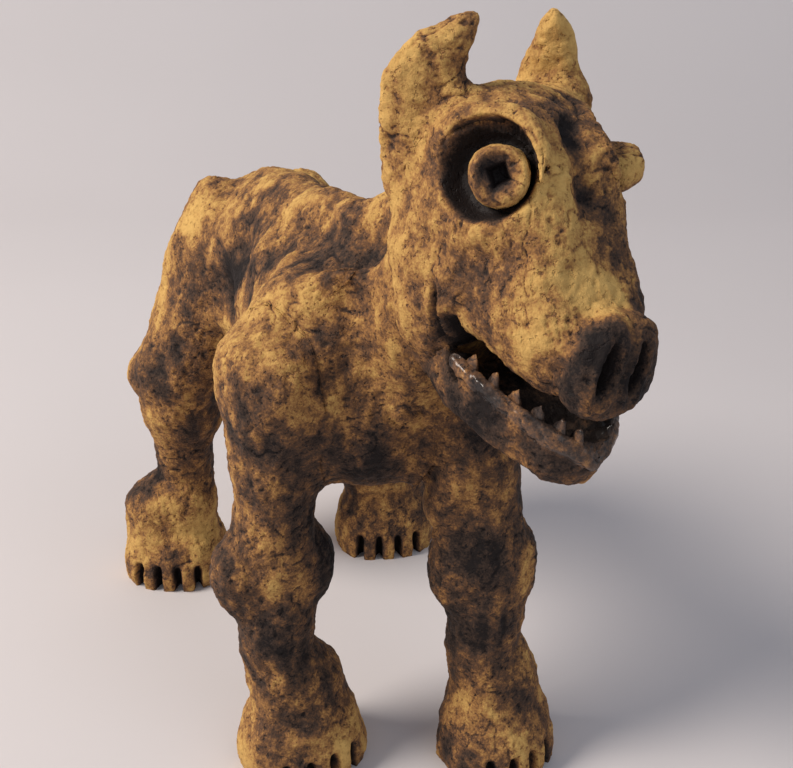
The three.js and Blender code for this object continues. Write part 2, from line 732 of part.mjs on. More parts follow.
function footShape(halfWidth) {
  const form = {
    centres: FOOT_ROWS.map(([share, , , ahead]) => (
      vector(0, -ahead * FOOT_HALF_LENGTH, share * FOOT_HEIGHT)
    )),
    sizes: FOOT_ROWS.map(([, wide, long]) => [wide * halfWidth, long * FOOT_HALF_LENGTH]),
    across: X,
    up: Y,
    squareness: 2.4,
    flat: true,
    rings: 8,
    sides: 14,
  };
  const slitSizes = [TOE_SLIT_WIDTH / 2, TOE_SLIT_DEPTH, TOE_SLIT_HEIGHT];
  return (grow) => {
    let body = loft(form, grow);
    if (grow > 0) return body;
    for (let slit = 0; slit < TOE_SLITS; slit++) {
      const angle = radians(TOE_SPREAD * ((2 * slit) / (TOE_SLITS - 1) - 1));
      const turn = new THREE.Matrix4().makeRotationZ(angle / 2);
      turn.setPosition(Math.sin(angle) * halfWidth, -Math.cos(angle) * FOOT_HALF_LENGTH * TOE_REACH, 0);
      body = body.subtract(moved(pellet(slitSizes, vector(0, 0, 0), 0, 4, 6), turn));
    }
    return body;
  };
}

for (const leg of ["front_right", "front_left"]) {
  const { side } = STANCE[leg];
  const { top } = plan(leg);
  const shoulder = vector(side * SHOULDER_OUT, -SHOULDER_AHEAD, TRUNK_AXIS_HEIGHT + SHOULDER_RISE).add(top);
  seat(`${leg}_shoulder`, (grow) => pellet(SHOULDER_HALF_SIZES, shoulder, grow), OCHRE);
  const blade = BLADE_POINTS.map(([inset, behind, rise]) => (
    vector(side * (TRUNK_HALF_WIDTH - inset), behind, rise).add(chest)
  ));
  seat(`${leg}_blade`, (grow) => coil(blade, BLADE_RADIUS, Y, 10, 10, grow), OCHRE);
  seat(`${leg}_leg`, frontLegShape(leg), STAINED);
  for (const [place, out] of [["outer", side], ["inner", -side]]) {
    const pad = legPoint(leg, KNEE_HEIGHT, 1, 1);
    pad.x += out * (FRONT_LEG_HALF_WIDTH - KNEE_PAD_SUNK);
    seat(`${leg}_${place}_knee_pad`, (grow) => pellet(KNEE_PAD_HALF_SIZES, pad, grow), OCHRE);
  }
  seat(`${leg}_foot`, footShape(FRONT_FOOT_HALF_WIDTH), OCHRE, feet[leg]);
}

for (const leg of ["hind_right", "hind_left"]) {
  const { side } = STANCE[leg];
  const hip = TRUNK_AXIS_HEIGHT + HAUNCH_RISE;
  const haunch = hindLegShape(leg, HAUNCH_ROWS, HAUNCH_FOOTING, hip, HAUNCH_HALF_WIDTH, HAUNCH_HALF_DEPTH);
  seat(`${leg}_haunch`, haunch, OCHRE);
  const [ankle, knee] = [FOOT_HEIGHT - SHANK_ANKLE_LAP, HAUNCH_FOOTING + SHANK_KNEE_LAP];
  const shank = hindLegShape(leg, SHANK_ROWS, ankle, knee, SHANK_HALF_WIDTH, SHANK_HALF_DEPTH);
  seat(`${leg}_shank`, shank, STAINED);
  const hock = legPoint(leg, HOCK_HEIGHT, 1, 1).add(vector(side * SHANK_HALF_WIDTH, HOCK_BACK, 0));
  seat(`${leg}_hock`, (grow) => pellet(HOCK_HALF_SIZES, hock, grow, 6, 12, HOCK_FULLNESS), OCHRE);
  seat(`${leg}_foot`, footShape(HIND_FOOT_HALF_WIDTH), OCHRE, feet[leg]);
}

// Neck: a thick lump between the trunk and the back of the head. Rows: share of the way from its root to the
// nape, then sag ahead, half width and half depth as shares of the neck's sizes.
const NECK_ROWS = [
  [-0.15, 0, 0, 0],
  [0, 0, 1, 1],
  [0.5, 0.06, 0.82, 0.86],
  [1, 0, 0.62, 0.68],
  [1.25, 0, 0, 0],
];
const neckRoot = vector(...NECK_ROOT).add(chest);
const nape = vector(...NECK_NAPE).applyMatrix4(head.matrixWorld);
const neck = {
  centres: NECK_ROWS.map(([share, sag]) => (
    neckRoot.clone().lerp(nape, share).addScaledVector(Y, -sag * NECK_HALF_DEPTH)
  )),
  sizes: NECK_ROWS.map(([, , wide, deep]) => [wide * NECK_HALF_WIDTH, deep * NECK_HALF_DEPTH]),
  across: X,
  rings: 8,
  sides: 13,
};

function neckShape(grow) {
  const place = vector(...NECK_HOLLOW_FROM_ROOT).add(neckRoot);
  const sizes = [NECK_HOLLOW_RADIUS, NECK_HOLLOW_RADIUS, NECK_HOLLOW_RADIUS];
  return loft(neck, grow).subtract(pellet(sizes, place, -grow, 8, 12));
}
seat("neck", neckShape, STAINED);

// The origin goes under the middle of the whole piece.
const middle = new THREE.Box3().setFromObject(beast, true).getCenter(new THREE.Vector3());
beast.position.set(-middle.x, -middle.y, 0);

export default beast;
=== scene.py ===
"""Looks of the fired-clay beast: rough ochre clay, smeared together by hand and stained with brown oxide."""

import json
import math
from collections import namedtuple

import bpy
import numpy as np
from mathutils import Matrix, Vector


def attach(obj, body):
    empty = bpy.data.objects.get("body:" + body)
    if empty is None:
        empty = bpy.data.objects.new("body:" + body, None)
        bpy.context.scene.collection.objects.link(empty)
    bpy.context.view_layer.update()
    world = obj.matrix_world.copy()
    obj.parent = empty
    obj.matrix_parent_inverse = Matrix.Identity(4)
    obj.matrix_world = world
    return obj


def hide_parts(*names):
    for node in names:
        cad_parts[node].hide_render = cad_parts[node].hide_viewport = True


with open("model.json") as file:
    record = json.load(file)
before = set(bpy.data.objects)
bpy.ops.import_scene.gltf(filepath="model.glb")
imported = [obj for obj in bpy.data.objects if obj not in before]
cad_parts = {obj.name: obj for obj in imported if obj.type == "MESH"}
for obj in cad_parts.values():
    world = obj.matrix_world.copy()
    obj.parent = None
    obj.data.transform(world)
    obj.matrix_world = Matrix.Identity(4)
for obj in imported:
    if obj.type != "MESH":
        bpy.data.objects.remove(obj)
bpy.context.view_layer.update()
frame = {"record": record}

MM = 0.001

# Places are in millimetres, from the rump on the ground: the beast faces -Y and its left side is +X.
# The row's own origin lies elsewhere, and the sole of the right front foot says how far.
RIGHT_FRONT_FOOT = np.array([-20.5, -94.0, 0.0])
SOLE = next(mount for mount in frame["record"]["mounts"] if mount["name"] == "front_right_sole")
ORIGIN = np.array(SOLE["pos_m"]) / MM - RIGHT_FRONT_FOOT
SIDES = {"right": -1, "left": 1}

# Camera of the photograph
IMAGE_WIDTH = 793
FOCAL_PIXELS = 1150
SENSOR_WIDTH = 36.0
CAMERA_PLACE = np.array([-86.6, -300.0, 197.8])
CAMERA_TARGET = np.array([29.5, -39.2, 64.7])

# Spacing of the points on the clay, on the head, on the eyeballs and on the teeth
SPACING = 0.45
HEAD_SPACING = 0.36
BALL_SPACING = 0.24
TOOTH_SPACING = 0.22


# Curves, noise and places

def curve(rows, count):
    """Smooth curve through rows of numbers: between two rows each column is the cubic that leaves and reaches
    them along the line between their neighbours."""
    rows = np.asarray(rows, float)
    padded = np.vstack([2 * rows[0] - rows[1], rows, 2 * rows[-1] - rows[-2]])
    place = np.linspace(0, len(rows) - 1, count)
    step = np.minimum(place.astype(int), len(rows) - 2)
    t = (place - step)[:, None]
    before, here, after, beyond = (padded[step + k] for k in range(4))
    linear = after - before
    square = 2 * before - 5 * here + 4 * after - beyond
    cube = 3 * here - before - 3 * after + beyond
    return here + 0.5 * t * (linear + t * (square + t * cube))


def unit(ways):
    """Ways with a length of one."""
    return ways / np.maximum(np.linalg.norm(ways, axis=-1, keepdims=True), 1e-9)


# Slopes of the noise, and the numbers that pick one of them for each corner of its lattice
SLOPES = 4096
GRADIENTS = unit(np.random.default_rng(7).normal(size=(SLOPES, 3)).astype(np.float32))
CORNER_KEYS = np.array([73856093, 19349663, 83492791])
SEED_KEY, SEED_SHIFT = 7919, 17.31


def noise(points, wavelength, seed):
    """Gradient noise from about -1 to 1: every corner of a lattice has a random slope, and a point mixes the
    heights that the slopes of its eight corners give there, with weights that ease from corner to corner."""
    lattice = points / wavelength + seed * SEED_SHIFT
    corner = np.floor(lattice).astype(np.int64)
    inside = (lattice - corner).astype(np.float32)
    ease = inside ** 3 * (inside * (inside * 6 - 15) + 10)
    total = np.zeros(len(points), np.float32)
    for bits in range(8):
        step = np.array([bits & 1, bits >> 1 & 1, bits >> 2 & 1])
        key = (corner + step) * CORNER_KEYS
        slope = GRADIENTS[(key[:, 0] ^ key[:, 1] ^ key[:, 2] ^ seed * SEED_KEY) & (SLOPES - 1)]
        weight = np.where(step, ease, 1 - ease).prod(1)
        total += weight * ((inside - step.astype(np.float32)) * slope).sum(1)
    return 1.6 * total


def ramp(values, low, high):
    """Share from 0 to 1 of the way from low to high, eased at both ends."""
    t = np.clip((values - low) / (high - low), 0, 1)
    return t * t * (3 - 2 * t)


def smooth_least(a, b, width):
    """Lesser of two distances, less a quarter of the width where they are equal, which falls off as a square
    to nothing where they are the width apart."""
    near = np.maximum(1 - np.abs(a - b) / max(width, 1e-9), 0)
    return np.minimum(a, b) - 0.25 * width * near ** 2


def stretches(points, path):
    """For each stretch of a path: how far points lie from it, and at which share of its length."""
    for start, end in zip(path, path[1:]):
        way = end - start
        share = np.clip(((points - start) @ way) / (way @ way), 0, 1)
        yield np.linalg.norm(points - start - share[:, None] * way, axis=1), share


def bells(points, rows):
    """Sum of bell curves, each from a row with its middle, its radius and its height."""
    total = np.zeros(len(points))
    for *middle, radius, height in rows:
        gap = np.linalg.norm(points - middle, axis=1)
        total += height * np.exp(-(gap / radius) ** 2)
    return total


def turn(axis, degrees):
    """Matrix of a turn about one axis."""
    c, s = math.cos(math.radians(degrees)), math.sin(math.radians(degrees))
    first, second = (axis + 1) % 3, (axis + 2) % 3
    matrix = np.eye(3)
    matrix[first, first] = matrix[second, second] = c
    matrix[first, second], matrix[second, first] = -s, s
    return matrix


def axes_along(aim, across):
    """Square axes whose third runs along an aim and whose first lies as near as it can to another way."""
    aim = unit(np.asarray(aim, float))
    across = unit(across - np.dot(across, aim) * aim)
    return np.stack([across, np.cross(aim, across), aim], axis=1)


class Place:
    """Frame of a piece: a point and three square axes, the columns of a matrix."""

    def __init__(self, point=(0, 0, 0), axes=np.eye(3)):
        self.point = np.asarray(point, float)
        self.axes = axes

    def inward(self, points):
        return (points - self.point) @ self.axes

    def outward(self, points):
        return np.asarray(points, float) @ self.axes.T + self.point

    def within(self, point, axes=np.eye(3)):
        return Place(self.outward(point), self.axes @ axes)


GROUND = Place()
# Axes of a lump that runs forwards: across, up and ahead
AHEAD = np.array([[1.0, 0, 0], [0, 0, -1], [0, 1, 0]])


# Shapes that the lumps of clay have

def count_round(radii, spacing):
    """How many points go round a lump: enough for its usual radius, and at least twelve."""
    return max(int(2 * math.pi * np.percentile(radii, 70) / spacing), 12)


def angles_round(count):
    return np.arange(count) * 2 * math.pi / count


class Loft:
    """Lump along the third axis of its place. Rows: height, the section's middle, and its two half sizes,
    whose squares are smoothed, so that a row of no size closes the lump with a round end. The sections are
    ellipses, or squarer where the squareness is over 2."""

    LEAST = 0.3
    STEPS = 600

    def __init__(self, rows, place=GROUND, squareness=2.0):
        rows = np.array(rows, float)
        if rows[0, 0] > rows[-1, 0]:
            rows = rows[::-1]
        rows[:, 3:] **= 2
        table = curve(rows, self.STEPS)
        table[:, 0] = np.maximum.accumulate(table[:, 0]) + np.arange(self.STEPS) * 1e-6
        table[:, 3:] = np.sqrt(np.maximum(table[:, 3:], self.LEAST ** 2))
        self.table = table
        self.place = place
        self.squareness = squareness

    def row(self, share):
        return self.table[int(round(share * (self.STEPS - 1)))]

    def section(self, heights):
        return [np.interp(heights, self.table[:, 0], self.table[:, k]) for k in range(1, 5)]

    def distance(self, points):
        """About how far points lie outside: how far past 1 the section's own radius is, over its slope there,
        and past an end also the way beyond that end."""
        x, y, z = self.place.inward(points).T
        x0, y0, a, b = self.section(z)
        n = self.squareness
        x, y = np.abs(x - x0) / a + 1e-6, np.abs(y - y0) / b + 1e-6
        radius = (x ** n + y ** n) ** (1 / n)
        slope = np.hypot((x / radius) ** (n - 1) / a, (y / radius) ** (n - 1) / b)
        side = (radius - 1) / slope
        beyond = np.maximum(np.maximum(self.table[0, 0] - z, z - self.table[-1, 0]), 0)
        return np.where(beyond > 0, np.hypot(np.maximum(side, 0), beyond), side)

    def grid(self, spacing):
        """Rings at even steps along the outline, each with even steps round it, and the two poles."""
        z, x0, y0, a, b = self.table.T
        run = np.append(0, np.cumsum(np.hypot(np.diff(z), np.diff(a + b) / 2)))
        count = max(int(run[-1] / spacing), 6)
        at = (np.arange(count) + 0.5) * run[-1] / count
        z, x0, y0, a, b = (np.interp(at, run, column)[:, None] for column in (z, x0, y0, a, b))
        angle = angles_round(count_round((a + b) / 2, spacing))
        c, s = np.cos(angle), np.sin(angle)
        n = self.squareness
        reach = (np.abs(c) ** n + np.abs(s) ** n) ** (-1 / n)
        rings = np.stack([x0 + a * c * reach, y0 + b * s * reach, z + 0 * c], axis=-1)
        return self.place.outward(rings), self.place.outward(self.table[[0, -1]][:, [1, 2, 0]])


class Trough(Loft):
    """Loft whose top is pressed down: by most in the middle, and less with the square of the way to the side.
    The hollow fades out towards both ends, between shares of the length."""

    BACK_FADE, FRONT_FADE = (0.02, 0.2), (0.8, 0.98)
    TOP_SLOPE = 0.7

    def __init__(self, rows, place, squareness, hollow):
        super().__init__(rows, place, squareness)
        self.hollow = hollow

    def pressed(self, x, z):
        x0, _, a, _ = self.section(z)
        low, high = self.table[0, 0], self.table[-1, 0]
        share = (z - low) / (high - low)
        fade = ramp(share, *self.BACK_FADE) * (1 - ramp(share, *self.FRONT_FADE))
        return self.hollow * fade * (1 - np.minimum(np.abs(x - x0) / a, 1) ** 2)

    def distance(self, points):
        """As a loft's, or how far points lie above the pressed top, whichever is more."""
        x, y, z = self.place.inward(points).T
        _, y0, _, b = self.section(z)
        above = y - (y0 + b - self.pressed(x, z))
        return np.maximum(super().distance(points), self.TOP_SLOPE * above)

    def grid(self, spacing):
        """As a loft's, its upper half lowered by the hollow times the root of the share of the height."""
        rings, poles = super().grid(spacing)
        local = self.place.inward(rings)
        x, y, z = local[..., 0], local[..., 1], local[..., 2]
        _, y0, _, b = self.section(z)
        local[..., 1] = y - self.pressed(x, z) * np.sqrt(np.maximum(y - y0, 0) / b)
        return self.place.outward(local), poles


class Filled(Loft):
    """Loft with a pellet smeared on to it, over which its skin is drawn."""

    SMEAR = 6.0

    def __init__(self, rows, place, squareness, pellet):
        super().__init__(rows, place, squareness)
        self.pellet = pellet

    def distance(self, points):
        return smooth_least(super().distance(points), self.pellet.distance(points), self.SMEAR)


class Foot(Loft):
    """Loft with a flat sole: its lowest ring lies on the ground, and smaller rings close the sole."""

    def grid(self, spacing):
        rings, poles = super().grid(spacing)
        shrink = np.linspace(0.1, 0.97, 10)[:, None, None]
        sole = poles[0] + shrink * (rings[0] - poles[0])
        sole[..., 2] = 0
        rings[0, :, 2] = 0
        return np.concatenate([sole, rings]), poles


class Pellet:
    """Ball stretched to three half sizes, or a squarer one where the fullness is over 2."""

    def __init__(self, half, place, fullness=2.0):
        self.half = np.array(half, float)
        self.place = place
        self.fullness = fullness

    def distance(self, points):
        """About how far points lie outside: how far past 1 the pellet's own radius is, over its slope."""
        shares = np.abs(self.place.inward(points)) / self.half + 1e-6
        radius = (shares ** self.fullness).sum(1) ** (1 / self.fullness)
        slope = np.linalg.norm((shares / radius[:, None]) ** (self.fullness - 1) / self.half, axis=1)
        return (radius - 1) / slope

    def grid(self, spacing):
        """Rings at even steps of latitude, each stretched along every direction to the pellet's radius."""
        count = int(math.pi * self.half.max() / spacing)
        angle = angles_round(int(2 * math.pi * np.sort(self.half)[-2:].mean() / spacing))
        rise = -np.cos((np.arange(count) + 0.5) * math.pi / count)[:, None]
        reach = np.sqrt(1 - rise ** 2)
        ways = np.stack([reach * np.cos(angle), reach * np.sin(angle), rise + 0 * angle], axis=-1)
        ways /= (np.abs(ways) ** self.fullness).sum(-1, keepdims=True) ** (1 / self.fullness)
        ends = np.array([[0, 0, -1.0], [0, 0, 1.0]])
        return self.place.outward(ways * self.half), self.place.outward(ends * self.half)


class Coil:
    """Roll of clay along points, each with a radius, with round ends."""

    LEAST = 0.25
    STEPS = 400
    ASIDE = (0.31, 0.17, 0.93)
    POLE_STEP = 0.05

    def __init__(self, points, radii, segments=12):
        rows = np.column_stack([points, radii])
        self.coarse = curve(rows, segments + 1)
        self.fine = curve(rows, self.STEPS)
        for table in (self.coarse, self.fine):
            table[:, 3] = np.maximum(table[:, 3], self.LEAST)

    def distance(self, points):
        """Least distance to the stretches between the points, less the radius there."""
        radius = self.coarse[:, 3]
        rows = zip(stretches(points, self.coarse[:, :3]), radius, np.diff(radius))
        return np.min([gap - start - share * more for (gap, share), start, more in rows], axis=0)

    def grid(self, spacing):
        """Rings square to the path, which shrink as a quarter circle past each end, and the two poles."""
        path, radius = self.fine[:, :3], self.fine[:, 3]
        run = np.append(0, np.cumsum(np.linalg.norm(np.diff(path, axis=0), axis=1)))
        span = run[-1] + radius[0] + radius[-1]
        count = max(int(span / spacing), 10)
        at = (np.arange(count) + 0.5) * span / count - radius[0]
        thick = np.interp(at, run, radius)
        past = np.maximum(-at, 0) - np.maximum(at - run[-1], 0)
        reach = np.sqrt(np.maximum(thick ** 2 - past ** 2, 0.01))
        slope = np.gradient(path, axis=0)
        centre = np.stack([np.interp(at, run, path[:, k]) for k in range(3)], 1)
        along = unit(np.stack([np.interp(at, run, slope[:, k]) for k in range(3)], 1))
        centre -= along * past[:, None]
        side = unit(np.cross(along, self.ASIDE))
        up = np.cross(along, side)
        angle = angles_round(count_round(thick, spacing))[None, :, None]
        ring = np.cos(angle) * side[:, None] + np.sin(angle) * up[:, None]
        poles = np.stack([centre[0] - along[0] * self.POLE_STEP, centre[-1] + along[-1] * self.POLE_STEP])
        return centre[:, None] + reach[:, None, None] * ring, poles


# The pieces: shape, width over which the piece is smeared into its neighbours, slot of its finish, how dark
# its oxide is from 0 to 1, and spacing of its points
Piece = namedtuple("Piece", "shape smear slot dark spacing", defaults=(SPACING,))
OCHRE, STAINED, GLOSSY = "ochre_clay", "stained_clay", "glossy_clay"
pieces = {}


def lay(node, *piece):
    """Adds a piece to the beast."""
    pieces[node] = Piece(*piece)


def lengthwise(rows, start, length, height, wide, deep):
    """Rows of a lump that runs forwards, from rows of shares: way along, half width, half depth and lift."""
    return [(share * length - start, 0, height + lift * deep, w * wide, d * deep)
            for share, w, d, lift in rows]


# Trunk, and the clay that fills the fork between the chest and the left front leg
TRUNK_LENGTH, TRUNK_WIDE, TRUNK_DEEP, TRUNK_AXIS = 111.0, 22.0, 25.0, 98.0
TRUNK_SQUARENESS = 2.3
TRUNK_ROWS = [(0, 0, 0, -.05), (.05, .6, .62, .08), (.16, .86, .9, 0), (.36, .86, .92, .1),
              (.58, .88, .94, .06), (.78, 1, 1, 0), (.93, .8, .86, -.1), (1, 0, 0, -.15)]
CHEST = np.array([0, -TRUNK_LENGTH, TRUNK_AXIS])
CHEST_FILL = Pellet((5, 8, 14), Place((11, -105, 81)))

trunk = Filled(lengthwise(TRUNK_ROWS, 0, TRUNK_LENGTH, TRUNK_AXIS, TRUNK_WIDE, TRUNK_DEEP),
               Place((0, 0, 0), AHEAD), TRUNK_SQUARENESS, CHEST_FILL)
lay("trunk", trunk, 8, STAINED, 0.55)

# Head, in its own place: the eye line crosses the origin, and the rows start at the back of the skull
HEAD = Place(CHEST + (17.2, -21, 48.5), turn(2, 6.5) @ turn(0, 24) @ turn(1, 5))
HEAD_LENGTH, BEHIND_EYES, HEAD_WIDE, HEAD_DEEP = 58.0, 28.0, 19.0, 27.0
HEAD_SQUARENESS = 2.8
HEAD_ROWS = [(0, 0, 0, -.33), (.053, .47, .33, -.33), (.155, .79, .54, -.31), (.31, .95, .86, -.5),
             (.449, 1, 1.02, -.63), (.55, .97, .96, -.67), (.6, .9, .77, -.565), (.641, .85, .62, -.51),
             (.759, .76, .485, -.585), (.877, .65, .37, -.67), (.97, .48, .24, -.72), (1, 0, 0, -.72)]
CHEEK_SHARE, _, CHEEK_DEEP, CHEEK_LIFT = HEAD_ROWS[4]
MUZZLE_LIFT = HEAD_ROWS[-1][3] * HEAD_DEEP
HEAD_AHEAD = HEAD.within((0, 0, 0), AHEAD)

skull = Loft(lengthwise(HEAD_ROWS, BEHIND_EYES, HEAD_LENGTH, 0, HEAD_WIDE, HEAD_DEEP),
             HEAD_AHEAD, HEAD_SQUARENESS)
lay("head", skull, 6, OCHRE, 0.42, HEAD_SPACING)

# Nose: a full pad whose front leans back
NOSE_HALF, NOSE_FULLNESS = (9.6, 5.8, 9.4), 2.5
NOSE_PLACE = (0.5, BEHIND_EYES + 0.5 - HEAD_LENGTH, 2.0 + MUZZLE_LIFT)
NOSE = HEAD.within(NOSE_PLACE, turn(1, 6) @ turn(0, -26))
lay("nose", Pellet(NOSE_HALF, NOSE, NOSE_FULLNESS), 2.2, OCHRE, 0.86, HEAD_SPACING)

# Lower jaw: a trough from under the cheek to past the muzzle
JAW_WIDE, JAW_DEEP, JAW_OVERSHOT, JAW_TUCK, JAW_HOLLOW = 15.4, 8.6, 8.0, 8.3, 11.0
JAW_ROWS = [(0, 0, 0, 0), (.1, .88, .86, -.05), (.3, 1, 1, -.06), (.52, .93, 1.02, 0), (.7, .76, .98, .06),
            (.86, .52, .92, .06), (.95, .3, .75, .1), (1, 0, 0, .15)]
JAW_BACK = BEHIND_EYES - CHEEK_SHARE * HEAD_LENGTH + 2
JAW_LENGTH = JAW_BACK + HEAD_LENGTH - BEHIND_EYES + JAW_OVERSHOT
JAW_HEIGHT = JAW_TUCK + (CHEEK_LIFT - CHEEK_DEEP) * HEAD_DEEP

jaw = Trough(lengthwise(JAW_ROWS, JAW_BACK, JAW_LENGTH, JAW_HEIGHT, JAW_WIDE, JAW_DEEP),
             HEAD_AHEAD, HEAD_SQUARENESS, JAW_HOLLOW)
lay("lower_jaw", jaw, 3, OCHRE, 0.6, HEAD_SPACING)


def on_rim(share, side, inset, rise):
    """Point on the rim of the jaw, in the head's place: in from the side, at a share of the half depth."""
    z, _, y0, a, b = jaw.row(share)
    return np.array([side * (a - inset), -z, y0 + rise * b])


# Lip rolled along the rim, and triangular teeth that stand inside it. Tooth rows: shares of height and width.
LIP_SHARES, LIP_FRONT = (.32, .42, .55, .7, .83, .93), 0.985
LIP_RADIUS, LIP_END_RADIUS, LIP_INSET, LIP_RISE = 1.6, 0.6, 1.2, 0.54
TEETH_A_SIDE, TEETH_FROM, TEETH_TO = 6, .36, .8
TOOTH_HEIGHT, TOOTH_WIDE, TOOTH_THICK, TOOTH_RISE, TOOTH_LEAN = 4.4, 2.2, 1.3, 0.5, 0.15
TOOTH_ROWS = ((-.1, 0), (0, .95), (.5, .68), (.85, .3), (1, 0))

lip = [on_rim(share, -1, LIP_INSET, LIP_RISE) for share in LIP_SHARES] + [on_rim(LIP_FRONT, 0, 0, LIP_RISE)]
lip += [on_rim(share, 1, LIP_INSET, LIP_RISE) for share in reversed(LIP_SHARES)]
lip_radii = [LIP_END_RADIUS] + [LIP_RADIUS] * (len(lip) - 2) + [LIP_END_RADIUS]
lay("lower_lip", Coil(HEAD.outward(lip), lip_radii, 20), 2, GLOSSY, 0.56, HEAD_SPACING)

tooth_rows = [(rise * TOOTH_HEIGHT, 0, 0, thin * TOOTH_THICK, thin * TOOTH_WIDE) for rise, thin in TOOTH_ROWS]
for name, side in SIDES.items():
    for tooth in range(TEETH_A_SIDE):
        share = TEETH_FROM + (TEETH_TO - TEETH_FROM) * tooth / (TEETH_A_SIDE - 1)
        root = on_rim(share, side, LIP_INSET + LIP_RADIUS, TOOTH_RISE)
        leaning = HEAD.within(root, axes_along((side * TOOTH_LEAN, 0, 1), (1, 0, 0)))
        lay(f"tooth_{name}_{tooth + 1}", Loft(tooth_rows, leaning), 0, GLOSSY, 0.6, TOOTH_SPACING)

# Eyes: an eyeball in each pressed socket, and a brow bent over it by angles round the socket
SOCKET_RADIUS, SOCKET_DEPTH, SOCKET_LIFT = 9.3, 4.8, 0.9
SOCKET_MIDDLE, SOCKET_AIM = (HEAD_WIDE - 3.7, 0, 1), (0.87, -0.2, 0.45)
BROW_RADIUS = 2.4
BROW_RADII = (0.8, 2, BROW_RADIUS, BROW_RADIUS, BROW_RADIUS, 2, 0.8)
BROW_ANGLES = np.radians(range(35, 186, 25))
BROW_SINKS = {"right": 1.5, "left": 3.4}
# Eyeballs: middle of the base, aim and height of each, and shares of the radius at three rises up it
Ball = namedtuple("Ball", "base aim height shares")
BALLS = {
    "right": Ball((10.2, 1, 0), (0.62, -0.6, 0.5), 8.8, (1, .98, .84)),
    "left": Ball((11.5, 1, 0), (0.95, -0.22, 0.2), 10, (1, .8, .52)),
}
BALL_RISES = (.4, .74, .94)
BALL_RADIUS = 5.4


def eye_place(side, middle=SOCKET_MIDDLE, aim=SOCKET_AIM):
    """Place of an eye: across, up the brow and out of the socket."""
    up, across, out = axes_along((side * aim[0], *aim[1:]), (0, 0, 1)).T
    return HEAD.within((side * middle[0], *middle[1:]), np.stack([-across, up, out], axis=1))


def ball_place(name):
    return eye_place(SIDES[name], BALLS[name].base, BALLS[name].aim)


def eyeball(name):
    """Round lump along its aim, through the shares of its radius."""
    ball = BALLS[name]
    outline = [(-.05, 0), (.04, .94), *zip(BALL_RISES, ball.shares), (1, 0)]
    rows = [(rise * ball.height, 0, 0, wide * BALL_RADIUS, wide * BALL_RADIUS) for rise, wide in outline]
    return Loft(rows, ball_place(name))


def brow(name, side):
    """Coil bent along a circle round the socket."""
    reach = SOCKET_RADIUS + BROW_RADIUS / 2
    arch = np.stack([-side * reach * np.cos(BROW_ANGLES), reach * np.sin(BROW_ANGLES),
                     0 * BROW_ANGLES - BROW_SINKS[name]], 1)
    return Coil(eye_place(side).outward(arch), BROW_RADII)


# Ears: leaf-shaped slabs. Rows: shares of the length up and out, of the lean back, and of the half width.
# Each ear: its root in from the side, ahead of the back of the skull and below the eyes, its half width, how
# many degrees it faces aside, how far it leans back, and how much of the rows' way out it bends.
EAR_LENGTH, EAR_THICK = 34.0, 2.8
EAR_ROWS = [(0, 0, 0, 0), (.1, .01, .1, .55), (.32, .06, .3, .78), (.6, .07, .6, 1), (.8, .03, .8, .74),
            (.94, -.05, .94, .38), (1, -.12, 1, 0)]
Ear = namedtuple("Ear", "root wide facing lean bend")
EARS = {"right": Ear((4.8, 9.5, 16), 6.9, 36, 3, 1.0), "left": Ear((7, 11, 17), 5.8, -46, 8, 0.4)}


def ear(name, side):
    """Upright slab whose rows are turned to the way that it faces, as thick as the root of its width."""
    shape = EARS[name]
    angle = math.radians(shape.facing)
    axes = axes_along((0, 0, 1), np.array([side * math.cos(angle), math.sin(angle), 0]))
    rows = []
    for up, out, back, share in EAR_ROWS:
        x, y, _ = np.array([side * out * shape.bend * EAR_LENGTH, back * shape.lean, 0]) @ axes
        rows.append((up * EAR_LENGTH, x, y, share * shape.wide, math.sqrt(share) * EAR_THICK))
    inset, fore, below = shape.root
    return Loft(rows, HEAD.within((side * (HEAD_WIDE - inset), BEHIND_EYES - fore, -below), axes))


for name, side in SIDES.items():
    lay(f"{name}_eyeball", eyeball(name), 0, OCHRE, 0.42, BALL_SPACING)
    lay(f"{name}_brow", brow(name, side), 3, OCHRE, 0.4, HEAD_SPACING)
    lay(f"{name}_ear", ear(name, side), 6, STAINED, 0.37, HEAD_SPACING)

# Backbone, sunk into the top of the trunk. Tail rows: shares of the length back and up, and of the radius.
BACKBONE_SINKS = (3.5, 3.5, 3.5, 2.5, 0.8, -1.5, -3.5)
BACKBONE_RADII = (2, 6, 7, 7, 7, 7, 5.5)
BACKBONE_FROM, BACKBONE_TO = .12, .8
TAIL_LENGTH, TAIL_RADIUS = 34.0, 4.2
TAIL_ROOT = np.array([0, -0.05 * TRUNK_LENGTH, TRUNK_AXIS + 0.35 * TRUNK_DEEP])
TAIL_ROWS = [(0, 0, .3), (.25, .02, 1.1), (.4, -.25, 1), (.42, -.6, .85), (.36, -.9, .7), (.34, -1, .35)]


def on_back(share, sunk):
    """Point under the top of the trunk."""
    _, lift, _, deep = trunk.section(share * TRUNK_LENGTH)
    return np.array([0, -share * TRUNK_LENGTH, lift + deep - sunk])


stretch = np.linspace(BACKBONE_FROM, BACKBONE_TO, len(BACKBONE_SINKS))
backbone = [on_back(share, sunk) for share, sunk in zip(stretch, BACKBONE_SINKS)]
lay("backbone", Coil(backbone, BACKBONE_RADII), 6, OCHRE, 0.45)
tail = [TAIL_ROOT + (0, back * TAIL_LENGTH, up * TAIL_LENGTH) for back, up, _ in TAIL_ROWS]
lay("tail", Coil(tail, [thick * TAIL_RADIUS for _, _, thick in TAIL_ROWS]), 4, STAINED, 0.6)

